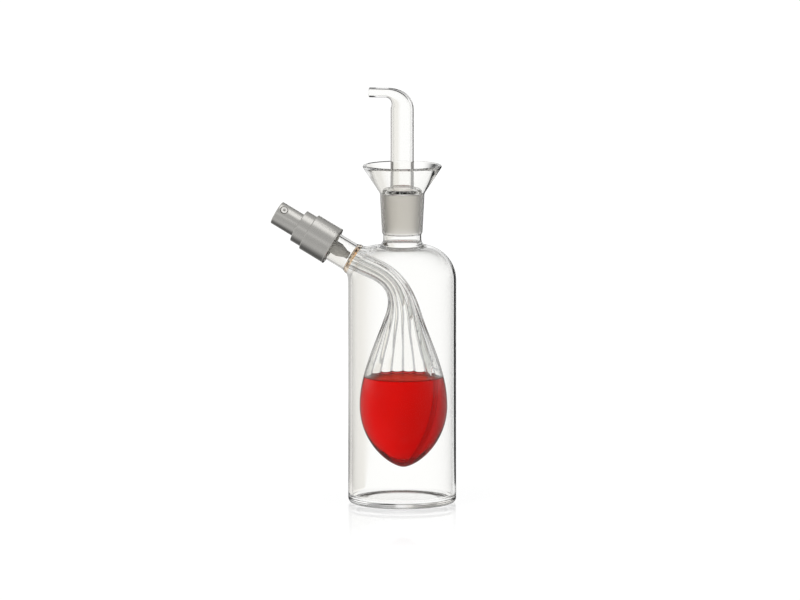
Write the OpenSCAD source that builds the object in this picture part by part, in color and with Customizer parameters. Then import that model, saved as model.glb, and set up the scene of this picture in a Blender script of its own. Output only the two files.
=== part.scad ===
// Oil and vinegar cruet of clear glass.
// A cylindrical oil bottle pours through a hollow ground stopper with a bent spout. A ribbed vessel
// for vinegar hangs inside it from a tilted side neck that carries a fine mist pump.
// Origin: centre of the base on the table, +Z up. The side neck points to -X.

/* [Bottle] */
// Outside diameter of the oil bottle
body_d = 65; // [63:0.5:70]
// Wall of the body and of the shoulder
body_wall = 2; // [1.6:0.1:2.4]
// Thickness of the flat base
base_t = 3; // [2:0.5:5]
// Radius of the edge around the base
base_edge_r = 3; // [2.5:0.5:5]
// Height of the straight body, up to the shoulder
body_h = 135; // [132:1:138]
// Radius of the shoulder's arc
shoulder_r = 21; // [20:0.5:22]

/* [Neck and funnel] */
// Outside diameter of the clear neck
neck_d = 23; // [22.8:0.1:24]
// Wall of the clear neck
neck_wall = 1.5; // [1.3:0.1:2]
// Height of the clear neck above the shoulder
neck_h = 7.5; // [6:0.5:12]
// Radius of the fillet between shoulder and neck
neck_fillet_r = 4; // [3:0.5:5]
// Diameter at the large end of the ground joint
joint_d = 24; // [23.6:0.1:24.4]
// Length of the ground joint
joint_len = 24; // [20:0.5:26]
// Length of joint over which its diameter grows by one
joint_taper = 10; // [9:0.5:12]
// Wall of the ground socket
socket_wall = 1.4; // [1.2:0.1:1.8]
// Diameter across the funnel's rim
funnel_d = 47.4; // [42:0.2:52]
// Height of the funnel above the ground joint
funnel_h = 16; // [12:0.5:20]
// Wall of the funnel
funnel_wall = 1.5; // [1.2:0.1:2]
// Diameter of the melted bead on the funnel's rim
rim_bead_d = 2.2; // [1.8:0.1:2.6]

/* [Stopper] */
// Clearance between the two ground faces
joint_gap = 0.05; // [0.02:0.01:0.1]
// Wall of the hollow ground cone
cone_wall = 1.6; // [1.3:0.1:2]
// Distance from the cone's open lower end to the end of the socket
cone_short = 1; // [0.5:0.25:3]
// Radius of the round shoulder on top of the cone
crown_r = 3.4; // [3:0.1:4]
// Outside diameter of the upright tube
tube_d = 14; // [13:0.5:15]
// Wall of the upright tube
tube_wall = 1.5; // [1.2:0.1:2]
// Height of the straight tube above the ground joint
tube_h = 50.5; // [40:0.5:60]
// Rise of the bend from the tube to the spout's centreline
bend_rise = 10; // [9:0.25:12]
// Distance from the tube's axis to the end of the bend
bend_reach = 10; // [8.5:0.25:12]
// Outside diameter of the spout
spout_d = 6; // [5:0.25:7]
// Wall of the spout
spout_wall = 1; // [0.8:0.1:1.3]
// Distance from the tube's axis to the tip of the spout
spout_reach = 20.2; // [16:0.2:30]

/* [Side neck] */
// Drop from the body's top to where the side neck's axis crosses the bottle's axis
side_drop = 5; // [4:0.5:7]
// Angle of the side neck above the level
side_tilt = 30; // [28:0.5:31]
// Outside diameter of the side neck
side_d = 17.6; // [17.2:0.1:18.2]
// Wall of the side neck
side_wall = 1.8; // [1.6:0.1:2]
// Length of the side neck from the seal to its mouth
side_len = 27; // [26:0.5:30]
// Distance of the seal outside the shoulder
seal_out = 1; // [0.5:0.25:2]
// Radius of the weld flare between shoulder and side neck
flare_r = 16; // [15.5:0.25:17]
// Length of the weld flare outside the seal
flare_past = 3.6; // [3.2:0.1:4.4]

/* [Inner vessel] */
// Gap between the bottle's wall and the teardrop at its widest, offset left out
vessel_gap = 4.1; // [3.5:0.1:6.5]
// Gap between the bottle's floor and the teardrop's tip
tip_gap = 18.4; // [15.4:0.2:21.4]
// Depth of the teardrop below its widest section
vessel_depth = 37.6; // [34:0.2:40]
// Drop from the side neck's crossing to where the neck starts to bend
bend_drop = 18; // [16:0.5:20]
// Length past there over which the teardrop still narrows to its neck
taper_past = 27; // [22:0.5:32]
// Offset of the teardrop from the bottle's axis
vessel_x = 0.8; // [0:0.1:1.2]
// Diameter of the bent neck
vessel_neck_d = 12.8; // [12:0.1:13]
// Wall of the vessel, ribs left out
vessel_wall = 1.6; // [1.3:0.1:1.8]
// Number of ribs around the vessel
rib_n = 20; // [16:1:22]
// Height of a rib on the body of the teardrop
rib_h = 0.6; // [0.3:0.1:0.8]
// Length of upward pull where the neck starts to bend
pull_up = 28; // [25:0.5:30]
// Length of outward pull where the neck meets the seal
pull_out = 12; // [10:0.5:14]
// Height of the vinegar's surface above the widest section
fill_over = 16.7; // [-9:0.1:26]

/* [Pump] */
// Diameter of the pump barrel
barrel_d = 8.2; // [7.8:0.1:8.6]
// Bore of the pump barrel
barrel_bore = 6.2; // [6:0.1:6.4]
// Thickness of the soft washer on the glass mouth
gasket_t = 1; // [0.8:0.1:1.5]
// Thickness of the pump's flange
flange_t = 1.2; // [1:0.1:1.5]
// Travel of the push button
stroke = 4.5; // [3.5:0.1:4.8]
// Outside diameter of the stem
stem_d = 3.7; // [3.4:0.1:3.9]
// Bore of the stem
stem_bore = 1.6; // [1.2:0.1:1.8]
// Length of the piston
piston_len = 6; // [5:0.1:6.5]
// Wire of the return spring
spring_wire = 0.6; // [0.5:0.05:0.7]
// Diameter over the coils of the return spring
spring_d = 5.2; // [4.9:0.1:5.6]
// Length of the return spring as fitted
spring_len = 9.8; // [9.5:0.1:11]
// Turns of the return spring
spring_turns = 7; // [6:0.5:7]
// Diameter of the check ball
ball_d = 2.8; // [2.5:0.1:3]
// Outside diameter of the dip tube
dip_d = 3; // [2.6:0.1:3.1]
// Wall of the dip tube
dip_wall = 0.6; // [0.4:0.05:0.8]
// Gap under the dip tube's end
dip_gap = 4; // [3:0.5:8]

/* [Collar and button] */
// Outside diameter of the aluminium collar
collar_d = 23.8; // [23.6:0.1:24.4]
// Length of the collar's skirt below the glass mouth
skirt_len = 12.5; // [11:0.1:13]
// Outside diameter of the step ring
step_d = 20.6; // [20.2:0.1:21]
// Length of the step ring above the collar's shoulder
step_len = 7.2; // [6.8:0.1:8]
// Thickness of the aluminium sheet
sheet_t = 0.5; // [0.4:0.05:0.6]
// Depth of the screw thread on the glass mouth
thread_h = 1; // [0.8:0.1:1.1]
// Thickness of the closure's top plate
plate_t = 1.6; // [1.4:0.1:2]
// Outside diameter of the push button
button_d = 14.8; // [14.4:0.1:15]
// Length of the push button
button_len = 17.1; // [16:0.1:18]
// Diameter of the nozzle insert
nozzle_d = 4.9; // [4.5:0.1:5.2]
// Distance from the button's end to the nozzle's centre
nozzle_down = 3.9; // [3.7:0.1:5]
// Turn of the nozzle from level, up around the button
nozzle_turn = 40; // [0:5:90]

/* [Clearances] */
// Gap between seated pieces of the pump
seat_gap = 0.05; // [0.02:0.01:0.08]
// Radial gap of a sliding or turning fit
slide_gap = 0.08; // [0.05:0.01:0.1]
// Gap around the push button in the collar
button_gap = 0.3; // [0.2:0.05:0.4]
// Gap between the screw thread and the closure
thread_gap = 0.2; // [0.15:0.05:0.3]

/* [Hidden] */
$fn = 96;

glass = [0.90, 0.92, 0.92, 0.35];
ribbed_glass = [0.86, 0.88, 0.86, 0.45];
vinegar_red = [0.78, 0.03, 0.02, 0.8];
satin_aluminium = [0.66, 0.65, 0.63];
grey_plastic = [0.62, 0.62, 0.60];
white_plastic = [0.90, 0.90, 0.88];
clear_plastic = [0.88, 0.88, 0.86, 0.6];
steel = [0.75, 0.76, 0.78];

// Heights on the bottle's axis
body_r = body_d / 2;
neck_r = neck_d / 2;
shoulder_top = body_h + shoulder_r;
joint_z = shoulder_top + neck_h;
joint_top = joint_z + joint_len;
funnel_top = joint_top + funnel_h;
joint_top_r = joint_d / 2;
joint_low_r = joint_top_r - joint_len / joint_taper / 2;
tube_top = joint_top + tube_h;

// Places along the side neck's axis, counted from the bottle's axis
side_z = body_h - side_drop;
axis_dir = [-cos(side_tilt), sin(side_tilt)];
dome_centre = [shoulder_r - body_r, body_h - side_z];
dome_along = dome_centre * axis_dir;
shell_s = dome_along + sqrt(shoulder_r * shoulder_r - dome_centre * dome_centre + dome_along * dome_along);
seal_s = shell_s + seal_out;
mouth_s = seal_s + side_len;
side_r = side_d / 2;
side_bore_r = side_r - side_wall;
flare_end = seal_s + flare_past;
flare_len = 14;

// Inner vessel, hung between the side neck and the bottle's floor
vessel_r = body_r - body_wall - vessel_gap;
vessel_low = base_t + tip_gap;
vessel_z = vessel_low + vessel_depth;
bend_z = side_z - bend_drop;
straight_h = bend_z - vessel_z;
vessel_taper = straight_h + taper_past;
liquid_z = vessel_z + fill_over;
vessel_neck_r = vessel_neck_d / 2;
rib_share = 0.045;
tip_power = 1.29;
lip_len = 2.4;
lip_s = seal_s - lip_len / 2;
fuse_gap = 0.02;
vessel_sides = 2 * rib_n;
side_points = 3;
low_steps = 9;
straight_steps = 7;
bend_steps = 12;
lip_steps = 3;
bend_line = [[vessel_x, bend_z], [vessel_x, bend_z + pull_up], on_axis(lip_s - pull_out), on_axis(lip_s)];

// The dip tube leaves the neck's centreline for the outer wall, bows and ends near the tip
dip_leave = 0.33;
dip_pull = 38;
dip_bow = 0.95;
dip_bow_over = 4;
dip_foot = 0.08;
dip_steps = 13;
dip_sides = 10;
dip_start = bezier(bend_line, dip_leave);
dip_line = [dip_start, dip_start - dip_pull * bezier_dir(bend_line, dip_leave),
    [vessel_x + dip_bow * vessel_r, vessel_z + dip_bow_over],
    [vessel_x + dip_foot * vessel_r, vessel_low + vessel_wall + dip_gap]];

// Small sizes of the pump
flange_inset = 0.2;
rim_t = 1.1;
rim_h = 1.4;
spigot_t = 1.2;
guide_out = 1.1;
guide_t = 1;
tower_h = 1.5;
tower_t = 1.5;
stop_t = 1.5;
stop_gap = 0.2;
cage_gap = 0.5;
cage_len = 2.9;
inlet_r = 0.8;
inlet_len = 1.2;
seat_slope = 1.25;
socket_len = 4.7;
nipple_t = 0.8;
taper_over = 0.9;
taper_len = 4.6;
piston_lip = 1.2;
piston_waist = 0.4;

// Pump, counted from the glass mouth outward
flange_r = side_r - flange_inset;
flange_top = gasket_t + flange_t + 2 * seat_gap;
rim_top = flange_top + rim_h;
rim_r = barrel_d / 2 + rim_t;
spigot_r = rim_r + seat_gap + spigot_t;
plate_low = flange_top + seat_gap;
plate_top = plate_low + plate_t;
guide_r = spigot_r + guide_out;
guide_top = plate_top + seat_gap + guide_t;
tower_top = guide_top + tower_h;
stop_r = barrel_bore / 2 - stop_gap;
piston_top = rim_top - stop_t - seat_gap;
piston_low = piston_top - piston_len;
spring_low = piston_low - seat_gap - spring_len;
cage_top = spring_low - seat_gap;
cage_r = ball_d / 2 + cage_gap;
seat_h = (cage_r - inlet_r) * seat_slope;
seat_angle = atan2(cage_r - inlet_r, seat_h);
seat_low = cage_top - cage_len - seat_h;
ball_s = seat_low + (ball_d / 2 + seat_gap - inlet_r * cos(seat_angle)) / sin(seat_angle);
socket_top = seat_low - inlet_len;
socket_low = socket_top - socket_len;
nipple_r = dip_d / 2 + nipple_t;
taper_top = seat_low + taper_over;

// Small sizes of the closure, collar and button
lip_t = 0.4;
lip_in = 0.7;
corner_r = 0.4;
sleeve_in = 1.5;
core_up = 0.4;
core_wall = 0.85;
press_spare = 0.3;
hub_t = 1.4;
hub_grip = 6.8;
core_roof = 1.5;
nozzle_in = 3.5;
nozzle_proud = 0.15;
spray_d = 0.5;
dish_d = 2;
dish_deep = 0.4;

// Closure, collar and button, counted from the glass mouth outward
shell_top = plate_top + seat_gap + sheet_t;
step_top = shell_top + step_len;
collar_r = collar_d / 2;
closure_r = collar_r - sheet_t - seat_gap;
closure_bore_r = side_r + thread_h + thread_gap;
button_r = button_d / 2;
sleeve_low = step_top - sleeve_in;
button_top = sleeve_low + button_len;
core_r = button_r - sheet_t - seat_gap;
core_top = button_top - sheet_t - seat_gap;
core_low = sleeve_low + core_up;
hub_low = tower_top + stroke + press_spare;
hub_r = stem_d / 2 + hub_t;
stem_top = hub_low + hub_grip;
nozzle_s = button_top - nozzle_down;

function unit(v) = v / norm(v);
function on_axis(s) = [s * axis_dir[0], side_z + s * axis_dir[1]];
function bezier(p, t) = pow(1 - t, 3) * p[0] + 3 * t * pow(1 - t, 2) * p[1]
    + 3 * t * t * (1 - t) * p[2] + pow(t, 3) * p[3];
function bezier_dir(p, t) = unit(pow(1 - t, 2) * (p[1] - p[0]) + 2 * t * (1 - t) * (p[2] - p[1])
    + t * t * (p[3] - p[2]));

// A station is a place in the XZ plane, the heading there and a radius
// A ring has the points around a station, square to its heading
function ring(station, sides, rib = 0) = [for (j = [0 : sides - 1])
    let (a = 360 * j / sides, r = station[2] + rib * cos(rib_n * a))
    [station[0][0] + r * cos(a) * station[1][1], r * sin(a), station[0][1] - r * cos(a) * station[1][0]]];

// Faces between rings that follow one another, and the caps at both ends
function skin(first, rings, sides) = [for (i = [0 : rings - 2], j = [0 : sides - 1])
    let (a = first + i * sides + j, d = first + i * sides + (j + 1) % sides)
    each [[a, a + sides, d + sides], [a, d + sides, d]]];
function turned(faces) = [for (f = faces) [f[0], f[2], f[1]]];
function end_ring(outer, inner, sides) = [for (j = [0 : sides - 1])
    let (k = (j + 1) % sides)
    each [[inner + j, outer + k, outer + j], [inner + j, inner + k, outer + k]]];

// Open pipe through a list of stations, with a wall given for each
module pipe(stations, walls, sides) {
    last = len(stations) - 1;
    inner = [for (i = [0 : last]) [stations[i][0], stations[i][1], stations[i][2] - walls[i]]];
    count = (last + 1) * sides;
    polyhedron(
        points = concat([for (s = stations) each ring(s, sides)], [for (s = inner) each ring(s, sides)]),
        faces = concat(
            skin(0, last + 1, sides),
            turned(skin(count, last + 1, sides)),
            turned(end_ring(0, count, sides)),
            end_ring(last * sides, count + last * sides, sides)
        ),
        convexity = 6
    );
}

// Closed rod through a list of stations
module rod(stations, sides) {
    rings = len(stations);
    polyhedron(
        points = [for (s = stations) each ring(s, sides)],
        faces = concat(
            skin(0, rings, sides),
            [[for (j = [0 : sides - 1]) j]],
            [[for (j = [sides - 1 : -1 : 0]) (rings - 1) * sides + j]]
        ),
        convexity = 6
    );
}

module along_side() {
    translate([0, 0, side_z]) rotate([0, side_tilt - 90, 0]) children();
}

module at_mouth() {
    along_side() translate([0, 0, mouth_s]) children();
}

// Flat band of a turned section, from radius to radius and from end to end
module band(r0, r1, s0, s1) {
    translate([r0, s0]) square([r1 - r0, s1 - s0]);
}

// What a rounded outer corner of a turned section loses, below the point it would have
module corner_loss(r, s, round_r) {
    translate([r - round_r, s - round_r]) difference() {
        square([round_r + 1, round_r + 1]);
        circle(r = round_r);
    }
}

// Half section of the bottle without its neck, grown inward by a wall
module body_section(wall, floor_t) {
    r = body_r - wall;
    edge = base_edge_r;
    band(0, r, floor_t + edge, body_h);
    band(0, r - edge, floor_t, floor_t + edge);
    translate([r - edge, floor_t + edge]) circle(r = edge);
    band(0, body_r - shoulder_r, body_h, shoulder_top - wall);
    intersection() {
        translate([body_r - shoulder_r, body_h]) circle(r = shoulder_r - wall);
        band(0, body_r, 0, shoulder_top);
    }
}

// Concave weld flare around the side neck, as a half section of a given length
module flare_section(r, curve, length) {
    difference() {
        band(0, r + curve, flare_end - length, flare_end);
        translate([r + curve, flare_end]) circle(r = curve);
    }
}

module bottle_outside() {
    fillet_sink = 0.4;
    rotate_extrude() {
        body_section(0, 0);
        band(0, neck_r, body_h, joint_z);
        translate([0, shoulder_top - fillet_sink]) difference() {
            square([neck_r + neck_fillet_r, neck_fillet_r]);
            translate([neck_r + neck_fillet_r, neck_fillet_r]) circle(r = neck_fillet_r);
        }
        polygon([[0, joint_z - 1], [neck_r, joint_z - 1], [joint_low_r + socket_wall, joint_z],
            [joint_top_r + socket_wall, joint_top], [funnel_d / 2 - rim_bead_d / 4, funnel_top],
            [0, funnel_top]]);
        translate([funnel_d / 2 - rim_bead_d / 2, funnel_top]) circle(d = rim_bead_d);
    }
    along_side() rotate_extrude() {
        flare_section(side_r, flare_r, flare_len);
        band(0, side_r, flare_end - 1, mouth_s);
    }
}

module bottle_inside() {
    rotate_extrude() {
        body_section(body_wall, base_t);
        band(0, neck_r - neck_wall, body_h, joint_z);
        polygon([[0, joint_z - 0.01], [joint_low_r, joint_z - 0.01], [joint_low_r, joint_z],
            [joint_top_r, joint_top], [funnel_d / 2 - funnel_wall, funnel_top + rim_bead_d],
            [0, funnel_top + rim_bead_d]]);
    }
    along_side() rotate_extrude() {
        flare_section(side_bore_r, flare_r + side_wall, flare_len - 1);
        band(0, side_bore_r, flare_end - 1, mouth_s + 1);
    }
}

module outer_bottle() {
    color(glass) difference() {
        bottle_outside();
        bottle_inside();
    }
}

// Radius of the weld flare's inside at a place along the side neck
function flare_inside(s) = side_bore_r + flare_r + side_wall
    - sqrt(pow(flare_r + side_wall, 2) - pow(flare_end - s, 2));

// Stations of the teardrop's lower part, from near its tip to the widest section
function low_stations(inset) = [for (i = [1 : low_steps])
    let (a = 90 - 90 * i / low_steps)
    [[vessel_x, vessel_z - (vessel_depth - inset) * sin(a)], [0, 1],
        (vessel_r - inset) * pow(cos(a), tip_power)]];

// Radius above the widest section, by the length of centreline from there
function taper_radius(run, inset) = vessel_neck_r - inset
    + (vessel_r - vessel_neck_r) * pow(cos(90 * min(run / vessel_taper, 1)), 2);

function straight_stations(inset) = [for (i = [1 : straight_steps])
    let (h = straight_h * i / straight_steps)
    [[vessel_x, vessel_z + h], [0, 1], taper_radius(h, inset)]];

function bend_run(i) = i == 0 ? straight_h
    : bend_run(i - 1) + norm(bezier(bend_line, i / bend_steps) - bezier(bend_line, (i - 1) / bend_steps));

function bend_stations(inset) = [for (i = [1 : bend_steps])
    let (t = i / bend_steps)
    [bezier(bend_line, t), bezier_dir(bend_line, t), taper_radius(bend_run(i), inset)]];

// The lip opens out until it meets the inside of the weld flare
function lip_stations(inset) = [for (i = [1 : lip_steps])
    let (s = lip_s + lip_len * i / lip_steps, share = pow(i / lip_steps, 2))
    [on_axis(s), axis_dir, vessel_neck_r - inset
        + (flare_inside(lip_s + lip_len) - fuse_gap - vessel_neck_r) * share]];

function vessel_stations(inset) = concat(low_stations(inset), straight_stations(inset),
    bend_stations(inset), lip_stations(inset));

// Ribs keep to their share of a thin neck or tip and end before the lip
function rib_at(i, stations) = i > len(stations) - 1 - lip_steps ? 0
    : min(rib_h, rib_share * stations[i][2]);

module inner_vessel() {
    outside = vessel_stations(0);
    inside = vessel_stations(vessel_wall);
    rings = len(outside);
    sides = vessel_sides * side_points;
    count = rings * sides;
    low_in = [vessel_x, 0, vessel_low + vessel_wall];
    low_out = [vessel_x, 0, vessel_low];
    last_out = count - sides;
    last_in = count + (rings - 1) * vessel_sides;
    tip_in = count + rings * vessel_sides;
    color(ribbed_glass) polyhedron(
        points = concat(
            [for (i = [0 : rings - 1]) each ring(outside[i], sides, rib_at(i, outside))],
            [for (s = inside) each ring(s, vessel_sides)],
            [low_in, low_out]
        ),
        faces = concat(
            skin(0, rings, sides),
            turned(skin(count, rings, vessel_sides)),
            [for (j = [0 : sides - 1]) [tip_in + 1, j, (j + 1) % sides]],
            [for (j = [0 : vessel_sides - 1]) [tip_in, count + (j + 1) % vessel_sides, count + j]],
            [for (j = [0 : vessel_sides - 1], k = [0 : side_points - 1])
                let (a = j * side_points + k)
                [last_in + j, last_out + (a + 1) % sides, last_out + a]],
            [for (j = [0 : vessel_sides - 1])
                [last_in + j, last_in + (j + 1) % vessel_sides, last_out + ((j + 1) * side_points) % sides]]
        ),
        convexity = 8
    );
}

// Stations of the dip tube's bowed part, from its end up to the neck's centreline
function bow_stations(r) = [for (i = [dip_steps : -1 : 0])
    let (t = i / dip_steps)
    [bezier(dip_line, t), -bezier_dir(dip_line, t), r]];

// The liquid fills the vessel's flats up to its surface and leaves the dip tube's place open
module vinegar() {
    flat_share = cos(180 / vessel_sides);
    low = vessel_low + vessel_wall;
    side = [for (s = concat(low_stations(vessel_wall), straight_stations(vessel_wall)))
        [s[2] * flat_share - seat_gap, s[0][1] + seat_gap]];
    place_r = dip_d / 2 + seat_gap;
    place_end = dip_line[3] + seat_gap * bezier_dir(dip_line, 1);
    color(vinegar_red) difference() {
        translate([vessel_x, 0, 0]) rotate_extrude() intersection() {
            polygon(concat([[0, low + 3 * seat_gap]], side, [[0, side[len(side) - 1][1]]]));
            band(0, vessel_r, 0, liquid_z);
        }
        rod(concat([[place_end, -bezier_dir(dip_line, 1), place_r]], bow_stations(place_r)), dip_sides);
    }
}

// Stopper: turned cone and tube, then the bend that narrows into the spout
module cone_section() {
    low = joint_z + cone_short;
    low_r = joint_low_r + cone_short / joint_taper / 2 - joint_gap;
    top_r = joint_top_r - joint_gap;
    crown_top = joint_top + crown_r;
    difference() {
        union() {
            polygon([[0, low], [low_r, low], [top_r, joint_top], [0, joint_top]]);
            band(0, top_r - crown_r, joint_top - 1, crown_top);
            intersection() {
                translate([top_r - crown_r, joint_top]) circle(r = crown_r);
                band(0, top_r, joint_top - 0.5, crown_top);
            }
            band(0, tube_d / 2, joint_top, tube_top);
        }
        polygon([[0, low - 1], [low_r - cone_wall, low - 1], [low_r - cone_wall, low],
            [top_r - cone_wall, joint_top - 1], [tube_d / 2 - tube_wall, joint_top + crown_r - cone_wall],
            [0, joint_top + crown_r - cone_wall]]);
        band(0, tube_d / 2 - tube_wall, joint_top, tube_top + 1);
    }
}

module pour_stopper() {
    weld_step = 0.05;
    weld_lap = 2;
    steps = 14;
    rise_share = 0.6;
    reach_share = 0.45;
    spout_z = tube_top + bend_rise;
    line = [[0, tube_top], [0, tube_top + rise_share * bend_rise], [-reach_share * bend_reach, spout_z],
        [-bend_reach, spout_z]];
    tube_r = tube_d / 2 - weld_step;
    stations = concat(
        [[[0, tube_top - weld_lap], [0, 1], tube_r]],
        [for (i = [0 : steps])
            let (t = i / steps)
            [bezier(line, t), bezier_dir(line, t), tube_r + (spout_d / 2 - tube_r) * t * t * (3 - 2 * t)]],
        [[[-spout_reach, spout_z], [-1, 0], spout_d / 2]]
    );
    walls = concat(
        [tube_wall - 2 * weld_step],
        [for (i = [0 : steps]) tube_wall - 2 * weld_step + (spout_wall - tube_wall) * i / steps],
        [spout_wall]
    );
    color(glass) {
        rotate_extrude() cone_section();
        pipe(stations, walls, 28);
    }
}

// Pump: barrel with its flange, ball cage, inlet seat and the dip tube's socket
module pump_housing() {
    bore_r = barrel_bore / 2;
    barrel_r = barrel_d / 2;
    tube_r = dip_d / 2 + seat_gap;
    flange_low = gasket_t + 2 * seat_gap;
    color(grey_plastic) at_mouth() rotate_extrude() difference() {
        polygon([[0, socket_low], [nipple_r, socket_low], [nipple_r, taper_top - taper_len],
            [barrel_r, taper_top], [barrel_r, flange_low], [flange_r, flange_low],
            [flange_r, flange_top], [rim_r, flange_top], [rim_r, rim_top], [0, rim_top]]);
        polygon([[0, rim_top + 1], [bore_r, rim_top + 1], [bore_r, cage_top], [cage_r, cage_top],
            [cage_r, seat_low + seat_h], [inlet_r, seat_low], [inlet_r, socket_top],
            [tube_r, socket_top], [tube_r, socket_low - 1], [0, socket_low - 1]]);
    }
}

module neck_gasket() {
    color(white_plastic) at_mouth() rotate_extrude()
        band(barrel_d / 2 + flange_inset, flange_r, seat_gap, seat_gap + gasket_t);
}

module retainer() {
    hole_r = stem_d / 2 + slide_gap;
    color(white_plastic) at_mouth() rotate_extrude() {
        band(rim_r + seat_gap, spigot_r, flange_top + seat_gap, guide_top);
        band(hole_r, spigot_r, rim_top + seat_gap, guide_top);
        band(spigot_r - spigot_t / 2, guide_r, plate_top + seat_gap, guide_top);
        band(hole_r, hole_r + tower_t, guide_top - guide_t / 2, tower_top);
    }
}

module check_ball() {
    color(steel) at_mouth() translate([0, 0, ball_s]) sphere(d = ball_d);
}

// The dip tube bows down beside the vessel's outer wall, below the neck's centreline
module dip_tube() {
    neck_steps = 8;
    stations = concat(
        bow_stations(dip_d / 2),
        [for (i = [1 : neck_steps])
            let (t = dip_leave + (1 - dip_leave) * i / neck_steps)
            [bezier(bend_line, t), bezier_dir(bend_line, t), dip_d / 2]],
        [[on_axis(mouth_s + socket_top - seat_gap), axis_dir, dip_d / 2]]
    );
    color(clear_plastic) pipe(stations, [for (s = stations) dip_wall], dip_sides);
}

// Coil spring with closed end turns
module return_spring() {
    coil_r = (spring_d - spring_wire) / 2;
    wire_r = spring_wire / 2;
    sides = 6;
    turn_steps = 14;
    steps = spring_turns * turn_steps;
    closed_pitch = 1.08 * spring_wire;
    open_pitch = (spring_len - spring_wire - 2 * closed_pitch) / (spring_turns - 2);
    function coil_rise(turn) = closed_pitch * min(turn, 1)
        + open_pitch * max(0, min(turn, spring_turns - 1) - 1)
        + closed_pitch * max(0, turn - spring_turns + 1);
    points = [for (i = [0 : steps], j = [0 : sides - 1])
        let (turn = i / turn_steps, a = 360 * turn, b = 360 * j / sides, r = coil_r + wire_r * cos(b))
        [r * cos(a), r * sin(a), wire_r + coil_rise(turn) - wire_r * sin(b)]];
    color(steel) at_mouth() translate([0, 0, spring_low]) polyhedron(
        points = points,
        faces = concat(
            skin(0, steps + 1, sides),
            [[for (j = [0 : sides - 1]) j]],
            [[for (j = [sides - 1 : -1 : 0]) steps * sides + j]]
        ),
        convexity = 10
    );
}

module stem() {
    color(white_plastic) at_mouth() rotate_extrude() difference() {
        union() {
            band(0, stem_d / 2, piston_low, stem_top - seat_gap);
            band(0, stop_r, rim_top - stop_t, rim_top);
        }
        band(0, stem_bore / 2, piston_low - 1, stem_top);
    }
}

// Piston with a sealing lip at each end
module piston() {
    lip_r = barrel_bore / 2 - slide_gap;
    color(grey_plastic) at_mouth() rotate_extrude() difference() {
        band(stem_d / 2 + seat_gap, lip_r, piston_low, piston_top);
        band(lip_r - piston_waist, lip_r + 1, piston_low + piston_lip, piston_top - piston_lip);
    }
}

module closure() {
    color(white_plastic) at_mouth() rotate_extrude() {
        band(closure_bore_r, closure_r, lip_t + seat_gap - skirt_len, plate_top);
        band(spigot_r + slide_gap, closure_r, plate_low, plate_top);
        band(button_r + 2 * button_gap, step_d / 2 - sheet_t - seat_gap, plate_low,
            step_top - sheet_t - seat_gap);
    }
}

// Drawn aluminium: skirt with a rolled lip, round shoulder and step ring
module closure_shell() {
    skirt_low = -skirt_len;
    step_r = step_d / 2;
    color(satin_aluminium) at_mouth() rotate_extrude() difference() {
        union() {
            band(collar_r - sheet_t - lip_in, collar_r, skirt_low, skirt_low + lip_t);
            band(collar_r - sheet_t, collar_r, skirt_low, shell_top);
            band(step_r - sheet_t, collar_r, shell_top - sheet_t, shell_top);
            band(step_r - sheet_t, step_r, shell_top - sheet_t, step_top);
            band(button_r + button_gap, step_r, step_top - sheet_t, step_top);
        }
        corner_loss(collar_r, shell_top, corner_r);
        corner_loss(step_r, step_top, corner_r);
    }
}

// The nozzle's axis, out from the button's axis
module at_nozzle() {
    at_mouth() translate([0, 0, nozzle_s]) rotate([0, 0, nozzle_turn - 90]) rotate([0, 90, 0]) children();
}

module actuator() {
    color(white_plastic) difference() {
        at_mouth() rotate_extrude() difference() {
            band(0, core_r, core_low, core_top);
            band(hub_r, core_r - core_wall, core_low - 1, stem_top - core_roof);
            band(0, hub_r + seat_gap, core_low - 1, hub_low);
            band(0, stem_d / 2 + seat_gap, hub_low - 1, stem_top);
            band(0, stem_bore / 2, stem_top - 1, nozzle_s);
        }
        at_nozzle() cylinder(d = stem_bore, h = core_r);
        at_nozzle() translate([0, 0, nozzle_in - seat_gap]) cylinder(d = nozzle_d + 2 * seat_gap, h = core_r);
    }
}

module actuator_shell() {
    color(satin_aluminium) difference() {
        at_mouth() rotate_extrude() difference() {
            union() {
                band(button_r - sheet_t, button_r, sleeve_low, button_top);
                band(0, button_r, button_top - sheet_t, button_top);
            }
            corner_loss(button_r, button_top, corner_r);
        }
        at_nozzle() translate([0, 0, nozzle_in]) cylinder(d = nozzle_d + 2 * seat_gap, h = button_r);
    }
}

// Insert with its swirl chamber, spray hole and dished face
module nozzle_insert() {
    face = button_r + nozzle_proud;
    color(satin_aluminium) at_nozzle() rotate_extrude() difference() {
        band(0, nozzle_d / 2, nozzle_in, face);
        band(0, nozzle_d / 4, nozzle_in - 1, face - 1);
        band(0, spray_d / 2, nozzle_in, face + 1);
        polygon([[0, face - dish_deep], [dish_d / 4, face - dish_deep], [dish_d / 2, face],
            [dish_d / 2, face + 1], [0, face + 1]]);
    }
}

outer_bottle();
inner_vessel();
vinegar();
pour_stopper();
pump_housing();
neck_gasket();
retainer();
check_ball();
dip_tube();
return_spring();
stem();
piston();
closure();
closure_shell();
actuator();
actuator_shell();
nozzle_insert();
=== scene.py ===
import math

import bpy
import numpy as np
from mathutils import Matrix, Vector


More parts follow.
